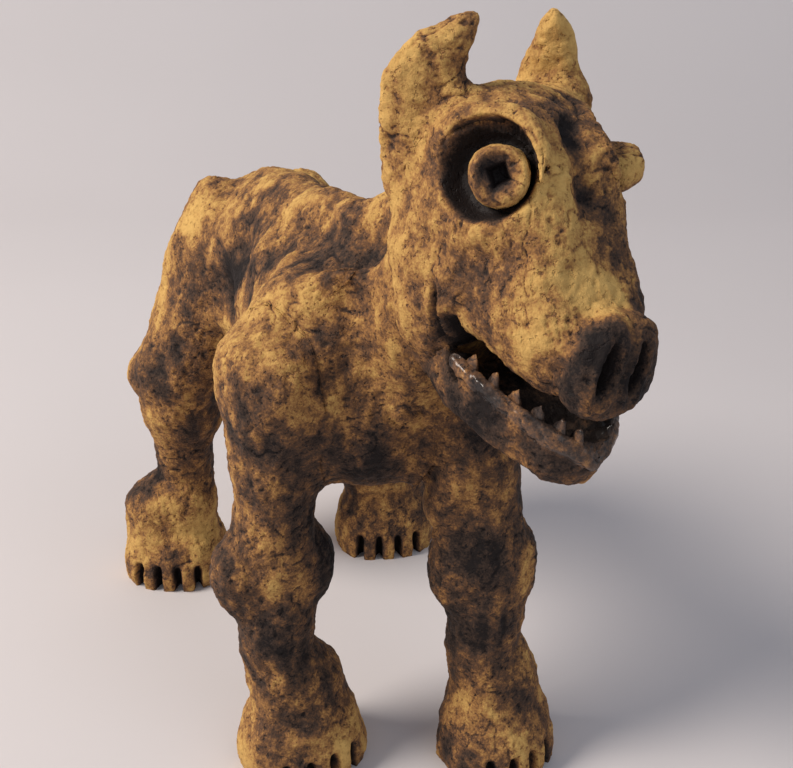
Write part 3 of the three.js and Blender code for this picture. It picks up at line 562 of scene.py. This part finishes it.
# Stance. For each leg: its side, where its top, its ankle and the middle of its foot lie on the ground plan,
# how many degrees the toes turn to the right, and half the foot's width.
Leg = namedtuple("Leg", "side top ankle foot toes wide")
LEGS = {
    "front_right": Leg(-1, (-22, -94), (-24.5, -93), (-20.5, -94), -4, 14.8),
    "front_left": Leg(1, (18, -102), (19.6, -110.3), (22.3, -111.5), -4, 13.6),
    "hind_right": Leg(-1, (-11.6, -16), (-23, -5), (-27, -4.5), 28, 15.0),
    "hind_left": Leg(1, (12, -18), (31, -13), (36, -14), 16, 15.0),
}
# Lumps of the legs: lowest and highest point, half width and half depth
Lump = namedtuple("Lump", "low high wide deep")
FRONT_LEG, HAUNCH, SHANK = Lump(18, 110, 11, 12.5), Lump(46, 121, 12.8, 17), Lump(16, 62, 9, 10.5)
# Leg rows: share of the height, shares of the way aside and back, then of the half width and half depth
FRONT_ROWS = [(1, 0, 0, 0, 0), (.93, 0, 0, .86, .9), (.82, .05, .05, 1, 1), (.71, .3, .3, .88, .9),
              (.54, .75, .75, .77, .76), (.4, .9, .9, .88, .85), (.3, 1, 1, .86, .82), (.2, 1, 1, .76, .74),
              (.12, 1, 1, .7, .66), (0, 1, 1, 0, 0)]
HAUNCH_ROWS = [(1, 0, 0, 0, 0), (.92, 0, 0, .5, .55), (.7, .2, .15, .88, .9), (.44, .6, .35, .96, 1),
               (.26, 1, .5, 1, .92), (.08, 1, .7, .7, .66), (0, 1, .75, 0, 0)]
SHANK_ROWS = [(1, 1, .65, 0, 0), (.86, 1, .7, 1.05, 1), (.55, 1, .9, .92, .9), (.35, 1, 1, .85, .85),
              (.15, 1.1, 1, .9, .9), (0, 1.1, 1, 0, 0)]
# Shoulder lump and blade up the side of the trunk, pads at the knee, and hock
SHOULDER_HALF, SHOULDER_STEP = (8.2, 11, 11.5), (1, -1, 3)
BLADE_POINTS, BLADE_RADII = ((22, -84, 104), (18, -88, 111), (14, -95, 117), (10, -101, 123)), (4, 5, 5, 3)
KNEE_HEIGHT, KNEE_HALF, KNEE_SUNK = 53.0, (5.25, 7, 8.5), {-1: 2.0, 1: 2.8}
HOCK_HEIGHT, HOCK_OUT, HOCK_BACK, HOCK_HALF, HOCK_FULLNESS = 20.0, 9.0, 3.0, (8.5, 8.5, 9), 2.6
# Foot rows: share of the height, then half width, half length and reach ahead as shares of the foot's sizes
FOOT_ROWS = [(0, .96, .96, .14), (.12, 1, 1, .14), (.3, .96, .92, .1), (.52, .8, .76, .02),
             (.75, .68, .66, 0), (1, 0, 0, 0)]
FOOT_LONG, FOOT_HEIGHT, FOOT_SQUARENESS = 13.0, 33.0, 2.4


def leg_point(leg, height, aside, back):
    """Point on a leg at a height, at shares of the way aside and back from its top to its ankle."""
    (x, y), (ankle_x, ankle_y) = leg.top, leg.ankle
    return np.array([x + aside * (ankle_x - x), y + back * (ankle_y - y), height])


def leg_loft(leg, rows, lump):
    """Upright lump of a leg, through its rows."""
    table = []
    for share, aside, back, wide, deep in rows:
        x, y, z = leg_point(leg, lump.low + share * (lump.high - lump.low), aside, back)
        table.append((z, x, y, wide * lump.wide, deep * lump.deep))
    return Loft(table)


def foot_place(leg):
    return Place((*leg.foot, 0), turn(2, -leg.toes))


def foot(leg):
    """Upright lump on a flat sole, through its rows."""
    rows = [(share * FOOT_HEIGHT, 0, -ahead * FOOT_LONG, wide * leg.wide, long * FOOT_LONG)
            for share, wide, long, ahead in FOOT_ROWS]
    return Foot(rows, foot_place(leg), FOOT_SQUARENESS)


for name, leg in LEGS.items():
    if name.startswith("front"):
        out, back, up = SHOULDER_STEP
        shoulder = Place((leg.top[0] + out * leg.side, leg.top[1] + back, TRUNK_AXIS + up))
        lay(f"{name}_shoulder", Pellet(SHOULDER_HALF, shoulder), 9, OCHRE, 0.46)
        blade = [(leg.side * out, back, up) for out, back, up in BLADE_POINTS]
        lay(f"{name}_blade", Coil(blade, BLADE_RADII), 6, OCHRE, 0.54)
        lay(f"{name}_leg", leg_loft(leg, FRONT_ROWS, FRONT_LEG), 9, STAINED, 0.63)
        for pad, out in (("outer", leg.side), ("inner", -leg.side)):
            step = out * (FRONT_LEG.wide - KNEE_SUNK[leg.side])
            knee = Place(leg_point(leg, KNEE_HEIGHT, 1, 1) + (step, 0, 0))
            lay(f"{name}_{pad}_knee_pad", Pellet(KNEE_HALF, knee), 5, OCHRE, 0.64)
    else:
        lay(f"{name}_haunch", leg_loft(leg, HAUNCH_ROWS, HAUNCH), 7, OCHRE, 0.42)
        lay(f"{name}_shank", leg_loft(leg, SHANK_ROWS, SHANK), 6, STAINED, 0.6)
        hock = Place(leg_point(leg, HOCK_HEIGHT, 1, 1) + (leg.side * HOCK_OUT, HOCK_BACK, 0))
        lay(f"{name}_hock", Pellet(HOCK_HALF, hock, HOCK_FULLNESS), 6, OCHRE, 0.5)
    lay(f"{name}_foot", foot(leg), 6, OCHRE, 0.47)

# Neck rows: share of the way from its root to the nape, then sag ahead, half width and half depth as shares
NECK_ROOT = CHEST + (1, 21, 6)
NAPE = HEAD.outward((0, 12, -16))
NECK_WIDE, NECK_DEEP = 20.0, 22.0
NECK_ROWS = [(-.15, 0, 0, 0), (0, 0, 1, 1), (.5, .06, .82, .86), (1, 0, .62, .68), (1.25, 0, 0, 0)]
NECK = Place(NECK_ROOT, axes_along(NAPE - NECK_ROOT, (1, 0, 0)))

neck_rows = []
for share, sag, wide, deep in NECK_ROWS:
    x, y, z = NECK.inward(NECK_ROOT + share * (NAPE - NECK_ROOT) - (0, sag * NECK_DEEP, 0))
    neck_rows.append((z, x, y, wide * NECK_WIDE, deep * NECK_DEEP))
lay("neck", Loft(neck_rows, NECK), 8, STAINED, 0.39)


# The skin: all lumps smeared together. The head's own pieces are smeared into one whole and the body's into
# another, and the two meet at a narrow seam.
HEAD_SEAM = 1.6
DIFFERENCE = 0.05
DRAWS, FURTHEST_DRAW, LEAST_STEEP = 3, 4.0, 0.05


def skin(points, near):
    """Distances to the smeared skin and to each lump."""
    gaps = np.stack([piece.shape.distance(points) for piece in near])
    wholes = []
    for group in (True, False):
        members = [k for k, piece in enumerate(near) if (piece.spacing < SPACING) == group]
        if members:
            whole = gaps[members[0]]
            for k in members[1:]:
                whole = smooth_least(whole, gaps[k], near[k].smear)
            wholes.append(whole)
    if len(wholes) == 2:
        return smooth_least(*wholes, HEAD_SEAM), gaps
    return wholes[0], gaps


def slope_of(points, value, near):
    """Slope of the skin's distance, from small steps along the three axes."""
    steps = np.eye(3) * DIFFERENCE
    return np.stack([(skin(points + step, near)[0] - value) / DIFFERENCE for step in steps], 1)


def drawn(points, near, share):
    """Points drawn on to the skin: a few times by its distance over its slope, times a share."""
    for _ in range(DRAWS):
        value, _ = skin(points, near)
        slope = slope_of(points, value, near)
        steep = np.maximum((slope ** 2).sum(1), LEAST_STEEP)
        move = np.clip(value / steep, -FURTHEST_DRAW, FURTHEST_DRAW)
        points = points - (share * move)[:, None] * slope
    return points


def roughness(points):
    """Height of the worked clay: wide dents of the fingers and lumps, grit, thin cracks where a slow noise
    crosses nought, and pits where a fast one is high. Also how much darker it makes the clay, because the
    oxide stays in the pits and cracks and is wiped off the grit."""
    dents = 0.8 * noise(points, 15, 1) + 0.52 * noise(points, 6.5, 2)
    grit = 0.28 * noise(points, 2.7, 3) + 0.22 * noise(points, 1.25, 4)
    patchy = ramp(noise(points, 11, 8), -0.1, 0.3)
    cracks = ramp(1 - np.abs(noise(points, 5, 5)), 0.94, 1) * patchy
    pits = ramp(noise(points, 1.3, 6), 0.4, 0.65) * ramp(noise(points, 8, 11), -0.2, 0.3)
    smears = 0.3 * noise(points * (1, 1, 0.6), 12, 9) + 0.22 * noise(points * (1, 1, 0.4), 3.4, 10)
    height = dents + grit - 0.35 * cracks - 0.35 * pits
    return height, smears - 0.1 * dents - 0.4 * grit + 0.3 * cracks + 0.25 * pits


# Hollows and swellings: a point, a radius and a height. The first ones are on both flanks.
FLANK_SWELLS = [(16, -50, 112, 8, -3.8), (19, -41, 99, 8, -3.8), (14, -64, 116, 5, 1.5), (7, -80, 122, 9, -3)]
BODY_SWELLS = [(side * out, *rest) for side in SIDES.values() for out, *rest in FLANK_SWELLS] + [
    (-9, -94, 127, 10, -4), (-5, -103, 132, 8, -2.5), (-24, -14, 92, 7, -1.5), (-33, -14, 72, 5, 1.4),
    (-36, -4, 66, 6, 1.6), (9.5, -108, 66, 7, 2.2), (30, -112, 53, 7, -1.4), (9, -114, 50, 7, -1.2)]
HEAD_SWELLS = [
    (17, 17, 3, 5, 3), (12, 2, 8, 8, -3), (17, -11, -8, 8, -3.2), (-16, -12, -9, 6, -1.6),
    (-20, 23, -30, 7, -3.5), (-20, 14, -41, 7, -3.5), (-19, 7, -50, 7, -3), (-17, 17, -15, 6, 2.2),
    (-18, 9, -22, 7, 2.4), (-19, 3, -34, 6, 1.8)]

# Where the oxide was brushed on or wiped off, and painted shade and painted light: a point, a radius, and how
# much darker it makes the clay.
# The painted shade darkens the inside of the mouth and the front of the chest, and the painted light lightens
# the top of the muzzle and sides that face the lamp.
HEAD_OXIDE_AND_PAINTED_SHADING = [
    (-18.7, 1, -22, 9, .1), (-10, -8, -13, 9, .46), (-2, -24, -8.5, 6.5, -.64), (-2, -14, 0, 6, .04),
    (-11, -21, -14, 6, -.26), (-13, -22, -17, 7, -.1), (-8, -7, -27, 3, .3), (-13, -8, -30, 4, .36),
    (-5, -6, 6, 6, -.34), (16, -10, -8, 9, .26), (14, 0, 0, 5, .25), (-4, -29.5, -9.5, 5, .42),
    (-16, -4, -37, 5, -.14), (16, -5, 3, 4, -.15), (-17, 16, -10, 7, -.1), (-3, -4, 8, 6, -.08),
    (-2, -34, -18, 8, .14), (0, -16, -33, 10, .65), (0, -30, -33, 9, .5), (-14, -20, -38, 10, .02),
    (22, -3, 3, 6, -.34), (-24, 14, -32, 7, .15), (12, 22, 10, 12, -.06), (17, 17, 3, 5, .4)]
BODY_OXIDE_AND_PAINTED_SHADING = [
    (-2, -112, 82, 20, .18), (-30, -100, 106, 10, -.08), (-12, -108, 114, 12, -.12),
    (-14, -104, 84, 12, .08), (-27, -103, 80, 12, .18), (-16, -105, 98, 7, -.2), (-14, -98, 55, 8, .25),
    (-26, -100, 38, 10, .18), (-24, -104, 18, 10, .42), (18, -114, 60, 20, .18), (18, -114, 36, 10, .2),
    (20, -118, 53, 9, -.28), (17, -118, 14, 10, -.12), (-28, -20, 74, 12, .5), (-25, -10, 45, 12, .04),
    (-17, -46, 104, 8, .7), (-3, -58, 126, 12, .08), (-20, -22, 116, 12, -.2), (-30, -14, 88, 8, -.1),
    (32, -20, 18, 18, .14)]


# Marks pressed into the clay. Each gives a depth for every point, and the way that it is pressed.
# The paths on the cheek are points back and up in the head's place.
SOCKET_FLOOR, SOCKET_RIM, SOCKET_BACK = 0.62, 1.03, (-12, -8)
BROW_DROP, BROW_EDGE = 3.0, 0.08
FURROW_PLACE, FURROW_DEPTH, FURROW_WIDE, FURROW_AIM = 0.5, 1.8, 1.8, (0, 0.6, -0.8)
CHEEK_GROOVE = [(-2.6, -20.4), (-4.4, -24.4), (-6.0, -29.0), (-8.8, -32.0), (-13.0, -34.5)]
CHEEK_DEPTH, CHEEK_WIDE = 1.9, 0.45
MOUTH_CORNER = [(-7.0, -25.2), (-9.6, -31.5)]
CORNER_DEPTH, CORNER_WIDE = 4.2, 0.9
NOSTRIL_OUT, NOSTRIL_RISE, NOSTRIL_WIDE, NOSTRIL_HIGH = 3.3, 0.6, 1.3, 4.4
NOSTRIL_DEPTH, NOSTRIL_RING, NOSTRIL_LEAN, NOSTRIL_STEP = 4.5, 0.6, 0.15, 1.6
DISH_DEPTH, PUPIL_WIDE, PUPIL_EDGE, PUPIL_DEPTH = 1.3, 2.1, 0.7, 2.6
TOE_SLITS, TOE_SPREAD = 4, 34
SLIT_WIDE, SLIT_HEIGHT, SLIT_DEPTH = 0.75, 9.0, 4.2


def groove(distance, half_width):
    """Share of a groove's depth: whole in the middle and nothing at twice the half width."""
    return 1 - ramp(distance, 0.3 * half_width, 2 * half_width)


def path_groove(points, path, half_width):
    """Groove along a path, by the least distance to its stretches."""
    return groove(np.min([gap for gap, _ in stretches(points, np.array(path))], axis=0), half_width)


def socket_share(points, side):
    """Share of a socket's depth: whole inside two thirds of its radius, and nothing outside it."""
    x, y, z = eye_place(side).inward(points).T
    radius = np.hypot(x, y - SOCKET_LIFT) / SOCKET_RADIUS
    return (1 - ramp(radius, SOCKET_FLOOR, SOCKET_RIM)) * ramp(z, *SOCKET_BACK)


def press_sockets(under):
    """Round bowls, pressed against the eye's aim, by a further depth where clay goes under their walls."""
    def press(points):
        for side in SIDES.values():
            share = socket_share(points, side)
            yield SOCKET_DEPTH * share + under * ramp(share, 0, BROW_EDGE), -eye_place(side).axes[:, 2]

    return press


def press_furrow(points):
    """Furrow between the brows, which fades out up and down the face."""
    x, y, z = HEAD.inward(points).T
    fade = ramp(z, -8, -2) * ramp(y, -13, -8) * (1 - ramp(y, 0, 5))
    yield FURROW_DEPTH * groove(np.abs(x - FURROW_PLACE), FURROW_WIDE) * fade, HEAD.axes @ FURROW_AIM


def press_cheeks(points):
    """Groove down each cheek, and a deep notch at the corner of the mouth."""
    x, y, z = HEAD.inward(points).T
    plane = np.stack([y, z], 1)
    cheek = CHEEK_DEPTH * path_groove(plane, CHEEK_GROOVE, CHEEK_WIDE) * ramp(-z, 19, 24)
    notch = CORNER_DEPTH * path_groove(plane, MOUTH_CORNER, CORNER_WIDE)
    for side in SIDES.values():
        yield np.maximum(cheek, notch) * ramp(side * x, 7, 11), HEAD.axes @ (-side, 0, 0)


def press_nose(points):
    """Two upright slit nostrils, each an oval with the clay raised in a ring round it."""
    x, y, z = NOSE.inward(points).T
    rise = z - NOSTRIL_RISE
    front = 1 - ramp(y, -1, 2)
    for side in SIDES.values():
        across = x - side * NOSTRIL_OUT - NOSTRIL_LEAN * rise + NOSTRIL_STEP
        oval = np.hypot(across / NOSTRIL_WIDE, rise / NOSTRIL_HIGH)
        ring = ramp(oval, 1.1, 1.7) * (1 - ramp(oval, 1.7, 2.6))
        yield (NOSTRIL_DEPTH * (1 - ramp(oval, 0.7, 1.15)) - NOSTRIL_RING * ring) * front, NOSE.axes[:, 1]


def press_pupil(name):
    """Dish in the front of an eyeball, and a diamond-shaped hole where both ways aside add up to little."""
    place = ball_place(name)

    def press(points):
        x, y, z = place.inward(points).T
        share = 1 - ramp(np.abs(x) + np.abs(y), PUPIL_WIDE - PUPIL_EDGE, PUPIL_WIDE + PUPIL_EDGE)
        dish = DISH_DEPTH * (1 - ramp(np.hypot(x, y), 1.5, 4.6))
        yield (dish + PUPIL_DEPTH * share) * ramp(z, 3, 5), -place.axes[:, 2]

    return press


def press_toes(leg):
    """Slits between the toes, fanned out, each pressed back along its own way and fading out upwards."""
    place = foot_place(leg)

    def press(points):
        x, y, z = place.inward(points).T
        for slit in range(TOE_SLITS):
            angle = math.radians(TOE_SPREAD * (2 * slit / (TOE_SLITS - 1) - 1))
            ahead = np.array([math.sin(angle / 2), -math.cos(angle / 2)])
            root = np.array([math.sin(angle) * leg.wide, -math.cos(angle) * FOOT_LONG * 1.1])
            aside = (x - root[0]) * ahead[1] - (y - root[1]) * ahead[0]
            reach = (x - root[0]) * ahead[0] + (y - root[1]) * ahead[1]
            share = groove(np.abs(aside), SLIT_WIDE) * (1 - ramp(z, 0.55 * SLIT_HEIGHT, SLIT_HEIGHT))
            yield SLIT_DEPTH * share * ramp(reach, -9, -5), place.axes @ (-ahead[0], -ahead[1], 0)

    return press


presses = {"head": [press_sockets(0), press_furrow, press_cheeks, press_nose], "nose": [press_nose],
           "lower_jaw": [press_cheeks]}
for name in SIDES:
    presses[f"{name}_brow"] = [press_sockets(BROW_DROP)]
    presses[f"{name}_eyeball"] = [press_pupil(name)]
for name, leg in LEGS.items():
    presses[f"{name}_foot"] = [press_toes(leg)]


# The surface of a piece. Points deep inside another lump stay where they are, and a piece sinks where another
# one makes the skin. Eyeballs and teeth are not smeared, and have less of the roughness.
DEEP_INSIDE = {"head": (-1.8, -0.9)}
DEEP_INSIDE_BODY = (-7, -4)
OVERLAP, SINK_RATE, DEEPEST_SINK = 0.3, 0.15, 1.5
UNSMEARED_ROUGHNESS = 0.6
# The sockets and the pressed marks are darkened partly by the oxide kept in them and partly by painted shade.
OXIDE_SPREAD, OXIDE_OFF_SWELLS, SOCKET_OXIDE_AND_SHADE, MARK_OXIDE_AND_SHADE, MARK_BLOTCHES = 2.5, 0.06, 0.15, 0.25, 0.7


def normals_of(points, shape):
    """Outward ways of a grid's points: across its rings and round them, crossed."""
    grid = points[1:-1].reshape(*shape, 3)
    around = np.roll(grid, -1, axis=1) - np.roll(grid, 1, axis=1)
    along = np.gradient(grid, axis=0)
    ways = unit(np.cross(around, along).reshape(-1, 3))
    ends = unit(points[[0, -1]] - points.mean(0))
    return np.vstack([ends[:1], ways, ends[1:]])


def clay_surface(node, near):
    """Rings of a piece after smearing, roughening and pressing, with how dark each point is."""
    piece = pieces[node]
    smeared = piece.smear > 0
    own = near.index(piece)
    rings, poles = piece.shape.grid(piece.spacing)
    points = np.vstack([poles[:1], rings.reshape(-1, 3), poles[1:]])
    if smeared:
        inside = np.delete(skin(points, near)[1], own, axis=0).min(0)
        points = drawn(points, near, ramp(inside, *DEEP_INSIDE.get(node, DEEP_INSIDE_BODY)))
    value, gaps = skin(points, near)
    slope = slope_of(points, value, near) if smeared else normals_of(points, rings.shape[:2])
    outwards = slope / np.maximum(np.linalg.norm(slope, axis=1, keepdims=True), 1e-3)
    in_head = HEAD.inward(points)
    swelling = bells(points, BODY_SWELLS) + bells(in_head, HEAD_SWELLS)
    height, darker = roughness(points)
    height += swelling
    closeness = np.exp(-np.maximum(gaps, 0) / OXIDE_SPREAD)
    dark = (closeness * np.array([[other.dark] for other in near])).sum(0) / closeness.sum(0)
    # The patches add oxide, painted shade and painted light to how dark the clay is.
    dark += bells(points, BODY_OXIDE_AND_PAINTED_SHADING) + bells(in_head, HEAD_OXIDE_AND_PAINTED_SHADING) + darker - OXIDE_OFF_SWELLS * swelling
    if smeared:
        sockets = sum(socket_share(points, side) for side in SIDES.values())
        # Darker in the sockets: the oxide kept there, and painted shade.
        dark += SOCKET_OXIDE_AND_SHADE * ramp(sockets, 0.03, 0.4)
        behind = np.maximum(gaps[own] - np.delete(gaps, own, axis=0).min(0) - OVERLAP, 0)
        sunk = np.minimum(SINK_RATE * behind ** 2, DEEPEST_SINK)
        if node == "head":
            sunk *= 1 - ramp(sockets, 0, BROW_EDGE)
        height -= sunk
    else:
        height *= UNSMEARED_ROUGHNESS
    moved = points + outwards * height[:, None]
    blotches = noise(points, 3.2, 12)
    for press in presses.get(node, []):
        for depth, way in press(points):
            moved += depth[:, None] * np.asarray(way)
            # Darker in the pressed marks, by their depth and in blotches: the oxide kept there, and painted
            # shade.
            dark += MARK_OXIDE_AND_SHADE * np.maximum(depth, 0) * (1 + MARK_BLOTCHES * blotches)
    moved[:, 2] = np.maximum(moved[:, 2], 0)
    return moved, rings.shape[:2], dark


def grid_faces(count, sides):
    """Corners of a closed grid's faces, their sizes, and the corners' places on a map that unrolls the grid:
    four-cornered faces between the rings, then fans of three round the first pole and the last."""
    ring, side = np.mgrid[1:count, :sides].reshape(2, -1, 1)
    quads = np.stack([side + (0, 1, 1, 0), ring + (0, 0, 1, 1)], 2)
    side = np.arange(sides)[:, None]
    first = np.stack([side + (0.5, 1, 0), 0 * side + (0, 1, 1)], 2)
    last = np.stack([side + (0.5, 0, 1), 0 * side + (count + 1, count, count)], 2)
    across, up = np.concatenate([part.reshape(-1, 2) for part in (quads, first, last)]).T
    corners = 1 + (up - 1) * sides + np.floor(across) % sides
    corners = np.select([up == 0, up > count], [0, 1 + count * sides], corners)
    sizes = np.repeat([4, 3], [len(quads), 2 * sides])
    return corners, sizes, np.stack([across / sides, up / (count + 1)], 1)


def make_mesh(name, points, shape, dark):
    """Mesh of a closed grid, with its map and with the stain and painted shading on its points."""
    corners, sizes, unrolled = grid_faces(*shape)
    mesh = bpy.data.meshes.new(name)
    mesh.vertices.add(len(points))
    mesh.vertices.foreach_set("co", ((points + ORIGIN) * MM).astype(np.float32).ravel())
    mesh.loops.add(len(corners))
    mesh.loops.foreach_set("vertex_index", corners.astype(np.int32))
    mesh.polygons.add(len(sizes))
    mesh.polygons.foreach_set("loop_start", np.append(0, np.cumsum(sizes)[:-1]).astype(np.int32))
    mesh.update(calc_edges=True)
    mesh.polygons.foreach_set("use_smooth", np.ones(len(sizes), bool))
    layer = mesh.uv_layers.new(name="OFBake")
    layer.data.foreach_set("uv", unrolled.astype(np.float32).ravel())
    stain = mesh.attributes.new("stain", "FLOAT", "POINT")
    stain.data.foreach_set("value", dark.astype(np.float32))
    return mesh


# Materials

class Wire:
    """Socket of a shader that is being built. Sums of wires and numbers add Math nodes."""

    def __init__(self, tree, socket=None):
        self.tree = tree
        self.socket = socket

    def node(self, kind, settings=(), inputs=(), output=0):
        """New node of a kind, with its settings and then the values or wires of its sockets."""
        made = self.tree.nodes.new(kind)
        for key, value in dict(settings).items():
            if key == "stops":
                for stop, (position, tone) in zip(made.color_ramp.elements, value):
                    stop.position, stop.color = position, tone
                for position, tone in value[2:]:
                    made.color_ramp.elements.new(position).color = tone
            else:
                setattr(made, key, value)
        for key, value in dict(inputs).items():
            if isinstance(value, Wire):
                self.tree.links.new(value.socket, made.inputs[key])
            else:
                made.inputs[key].default_value = value
        return Wire(self.tree, made.outputs[output] if made.outputs else None)

    def math(self, operation, first, second):
        return self.node("ShaderNodeMath", {"operation": operation}, {0: first, 1: second})

    def __add__(self, other):
        return self.math("ADD", self, other)

    def __sub__(self, other):
        return self.math("SUBTRACT", self, other)

    def __mul__(self, other):
        return self.math("MULTIPLY", self, other)


def new_material(name):
    """Empty material, and a wire to build its shader with."""
    material = bpy.data.materials.new(name)
    material.use_nodes = True
    material.node_tree.nodes.clear()
    return material, Wire(material.node_tree)


def colour(red, green, blue):
    """Linear colour of screen values from 0 to 255."""
    return tuple((value / 255) ** 2.2 for value in (red, green, blue)) + (1.0,)


# Clay colours, from wiped ochre to thick oxide: the two ends first, and then the stops between them
CLAY_STOPS = [
    (0.0, colour(207, 166, 99)), (1.0, colour(34, 28, 27)), (0.26, colour(187, 146, 86)),
    (0.45, colour(150, 108, 66)), (0.6, colour(104, 75, 54)), (0.78, colour(68, 54, 46))]
PAPER = colour(212, 206, 206)


def clay(name, gloss):
    """Fired clay: the stain and painted shading on its points, broken up by clouds, patches and grain and
    dotted with specks, picks its colour, and patches, grain and specks roughen it. Gloss is the share of a
    thin clear film."""
    material, wire = new_material(name)
    where = wire.node("ShaderNodeTexCoord", output="Object")
    stain = wire.node("ShaderNodeAttribute", {"attribute_name": "stain"}, output="Fac")

    def speckle(per_metre, detail):
        return wire.node("ShaderNodeTexNoise", {"noise_dimensions": "3D"},
                         {"Vector": where, "Scale": per_metre, "Detail": detail, "Roughness": 0.6}, "Fac")

    cloud, patch, grain = speckle(80, 6.0), speckle(480, 5.0), speckle(2000, 3.0)
    specks = wire.node("ShaderNodeMapRange", {"interpolation_type": "SMOOTHSTEP"},
                       {"Value": speckle(900, 2.0), "From Min": 0.58, "From Max": 0.7})
    broken = (cloud - 0.5) * 0.95 + (patch - 0.5) * 0.65 + (grain - 0.5) * 0.6
    shade = stain + broken + specks * 0.18 - 0.02
    base = wire.node("ShaderNodeValToRGB", {"stops": CLAY_STOPS}, {"Fac": shade})
    height = patch * 0.6 + grain * 0.5 - specks * 0.5
    bump = wire.node("ShaderNodeBump", inputs={"Strength": 0.8, "Distance": 0.0005, "Height": height})
    sockets = {"Base Color": base, "Roughness": shade * -0.18 + 0.92, "Normal": bump,
               "Specular IOR Level": 0.22, "Coat Roughness": 0.2}
    if gloss:
        sockets["Coat Weight"] = gloss
    shader = wire.node("ShaderNodeBsdfPrincipled", inputs=sockets)
    wire.node("ShaderNodeOutputMaterial", inputs={"Surface": shader})
    return material


def plain(name, tone):
    """Plain matt paper: a soft cloud of noise shifts its tone a little."""
    material, wire = new_material(name)
    where = wire.node("ShaderNodeTexCoord", output="Object")
    cloud = wire.node("ShaderNodeTexNoise", {}, {"Vector": where, "Scale": 3.0, "Detail": 2.0}, "Fac")
    darker = tuple(0.95 * value for value in tone[:3]) + (1.0,)
    base = wire.node("ShaderNodeValToRGB", {"stops": [(0.3, darker), (0.7, tone)]}, {"Fac": cloud})
    shader = wire.node("ShaderNodeBsdfPrincipled", inputs={"Base Color": base, "Roughness": 0.9})
    wire.node("ShaderNodeOutputMaterial", inputs={"Surface": shader})
    return material


# Each piece takes the place of its plain lump

LOOSE_SPACING, NEAR = 2.0, 3.0
GLOSS = {OCHRE: 0, STAINED: 0, GLOSSY: 0.55}
finishes = {slot: clay(f"{slot}_finish", gloss) for slot, gloss in GLOSS.items()}


def corners_of(piece):
    """Lowest and highest corner of a piece's box, from a loose grid."""
    points = piece.shape.grid(LOOSE_SPACING)[0].reshape(-1, 3)
    return points.min(0), points.max(0)


boxes = {node: corners_of(piece) for node, piece in pieces.items()}


def neighbours(node):
    """The piece and those whose boxes lie within reach of its own, in the order of building."""
    low, high = boxes[node]
    near = []
    for other, piece in pieces.items():
        other_low, other_high = boxes[other]
        reach = NEAR + max(piece.smear, pieces[node].smear)
        close = (other_low < high + reach).all() and (other_high > low - reach).all()
        if other == node or (close and piece.smear > 0):
            near.append(piece)
    return near


def add_object(name, data):
    """New object in the scene, for a mesh, a lamp or a camera."""
    thing = bpy.data.objects.new(name, data)
    bpy.context.scene.collection.objects.link(thing)
    return thing


for node, piece in pieces.items():
    mesh = make_mesh(f"{node}_clay", *clay_surface(node, neighbours(node)))
    mesh.materials.append(finishes[piece.slot])
    made = add_object(f"{node}_clay", mesh)
    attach(made, "root")
    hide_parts(node)


# Stage, in metres, light and camera
FLOOR_FRONT, FLOOR_MIDDLE, BEND_START, BEND_RADIUS, BACKDROP_TOP, STAGE_HALF = -3.0, -1.0, 0.42, 0.5, 2.5, 4.0
LIT_POINT = np.array([0, -60, 80.0])


def make_stage():
    """Floor that bends up into a backdrop: a profile of two straight runs and a quarter circle between them,
    carried across."""
    bend = np.linspace(0, math.pi / 2, 24)
    cove = np.stack([BEND_START + BEND_RADIUS * np.sin(bend), BEND_RADIUS - BEND_RADIUS * np.cos(bend)], 1)
    profile = np.vstack([(FLOOR_FRONT, 0), (FLOOR_MIDDLE, 0), cove, (BEND_START + BEND_RADIUS, BACKDROP_TOP)])
    y, x = np.meshgrid(profile[:, 0], (-STAGE_HALF, STAGE_HALF), indexing="ij")
    z = np.repeat(profile[:, 1], 2)
    angle = math.atan2(*(CAMERA_TARGET - CAMERA_PLACE)[:2])
    turned = np.stack([x.ravel(), y.ravel(), z], 1) @ turn(2, -math.degrees(angle)).T
    start = np.arange(len(profile) - 1) * 2
    faces = np.stack([start, start + 1, start + 3, start + 2], 1)
    mesh = bpy.data.meshes.new("studio_floor")
    mesh.from_pydata(turned.tolist(), [], faces.tolist())
    mesh.polygons.foreach_set("use_smooth", np.ones(len(faces), bool))
    mesh.materials.append(plain("pale_paper", PAPER))
    add_object("studio_floor", mesh)


def point_at(thing, place, target):
    """Puts a lamp or camera in its place, aimed at a target."""
    thing.location = Vector((place + ORIGIN) * MM)
    thing.rotation_euler = Vector(target - place).to_track_quat("-Z", "Y").to_euler()


def make_lamp(name, way, distance, size, power, tint):
    """Round soft lamp, along a way from the beast, at a distance in metres."""
    lamp = bpy.data.lights.new(name, "AREA")
    lamp.shape, lamp.size, lamp.energy, lamp.color = "DISK", size, power, tint
    point_at(add_object(name, lamp), LIT_POINT + unit(np.array(way)) * distance / MM, LIT_POINT)


make_stage()
make_lamp("window", (-0.74, 0.1, 0.67), 1.1, 0.5, 13.2, (1.0, 0.92, 0.83))
make_lamp("room", (0.35, -0.75, 0.6), 1.6, 1.4, 4, (0.85, 0.92, 1.0))

scene = bpy.context.scene
scene.world = bpy.data.worlds.new("soft_room")
scene.world.use_nodes = True
sky = scene.world.node_tree.nodes["Background"]
sky.inputs["Color"].default_value = (0.8, 0.87, 1.0, 1.0)
sky.inputs["Strength"].default_value = 0.38
scene.view_settings.view_transform = "Standard"

lens = bpy.data.cameras.new("camera")
lens.sensor_fit = "HORIZONTAL"
lens.sensor_width = SENSOR_WIDTH
lens.lens = FOCAL_PIXELS / IMAGE_WIDTH * SENSOR_WIDTH
lens.clip_start = 0.01
camera = add_object("camera", lens)
point_at(camera, CAMERA_PLACE, CAMERA_TARGET)
scene.camera = camera
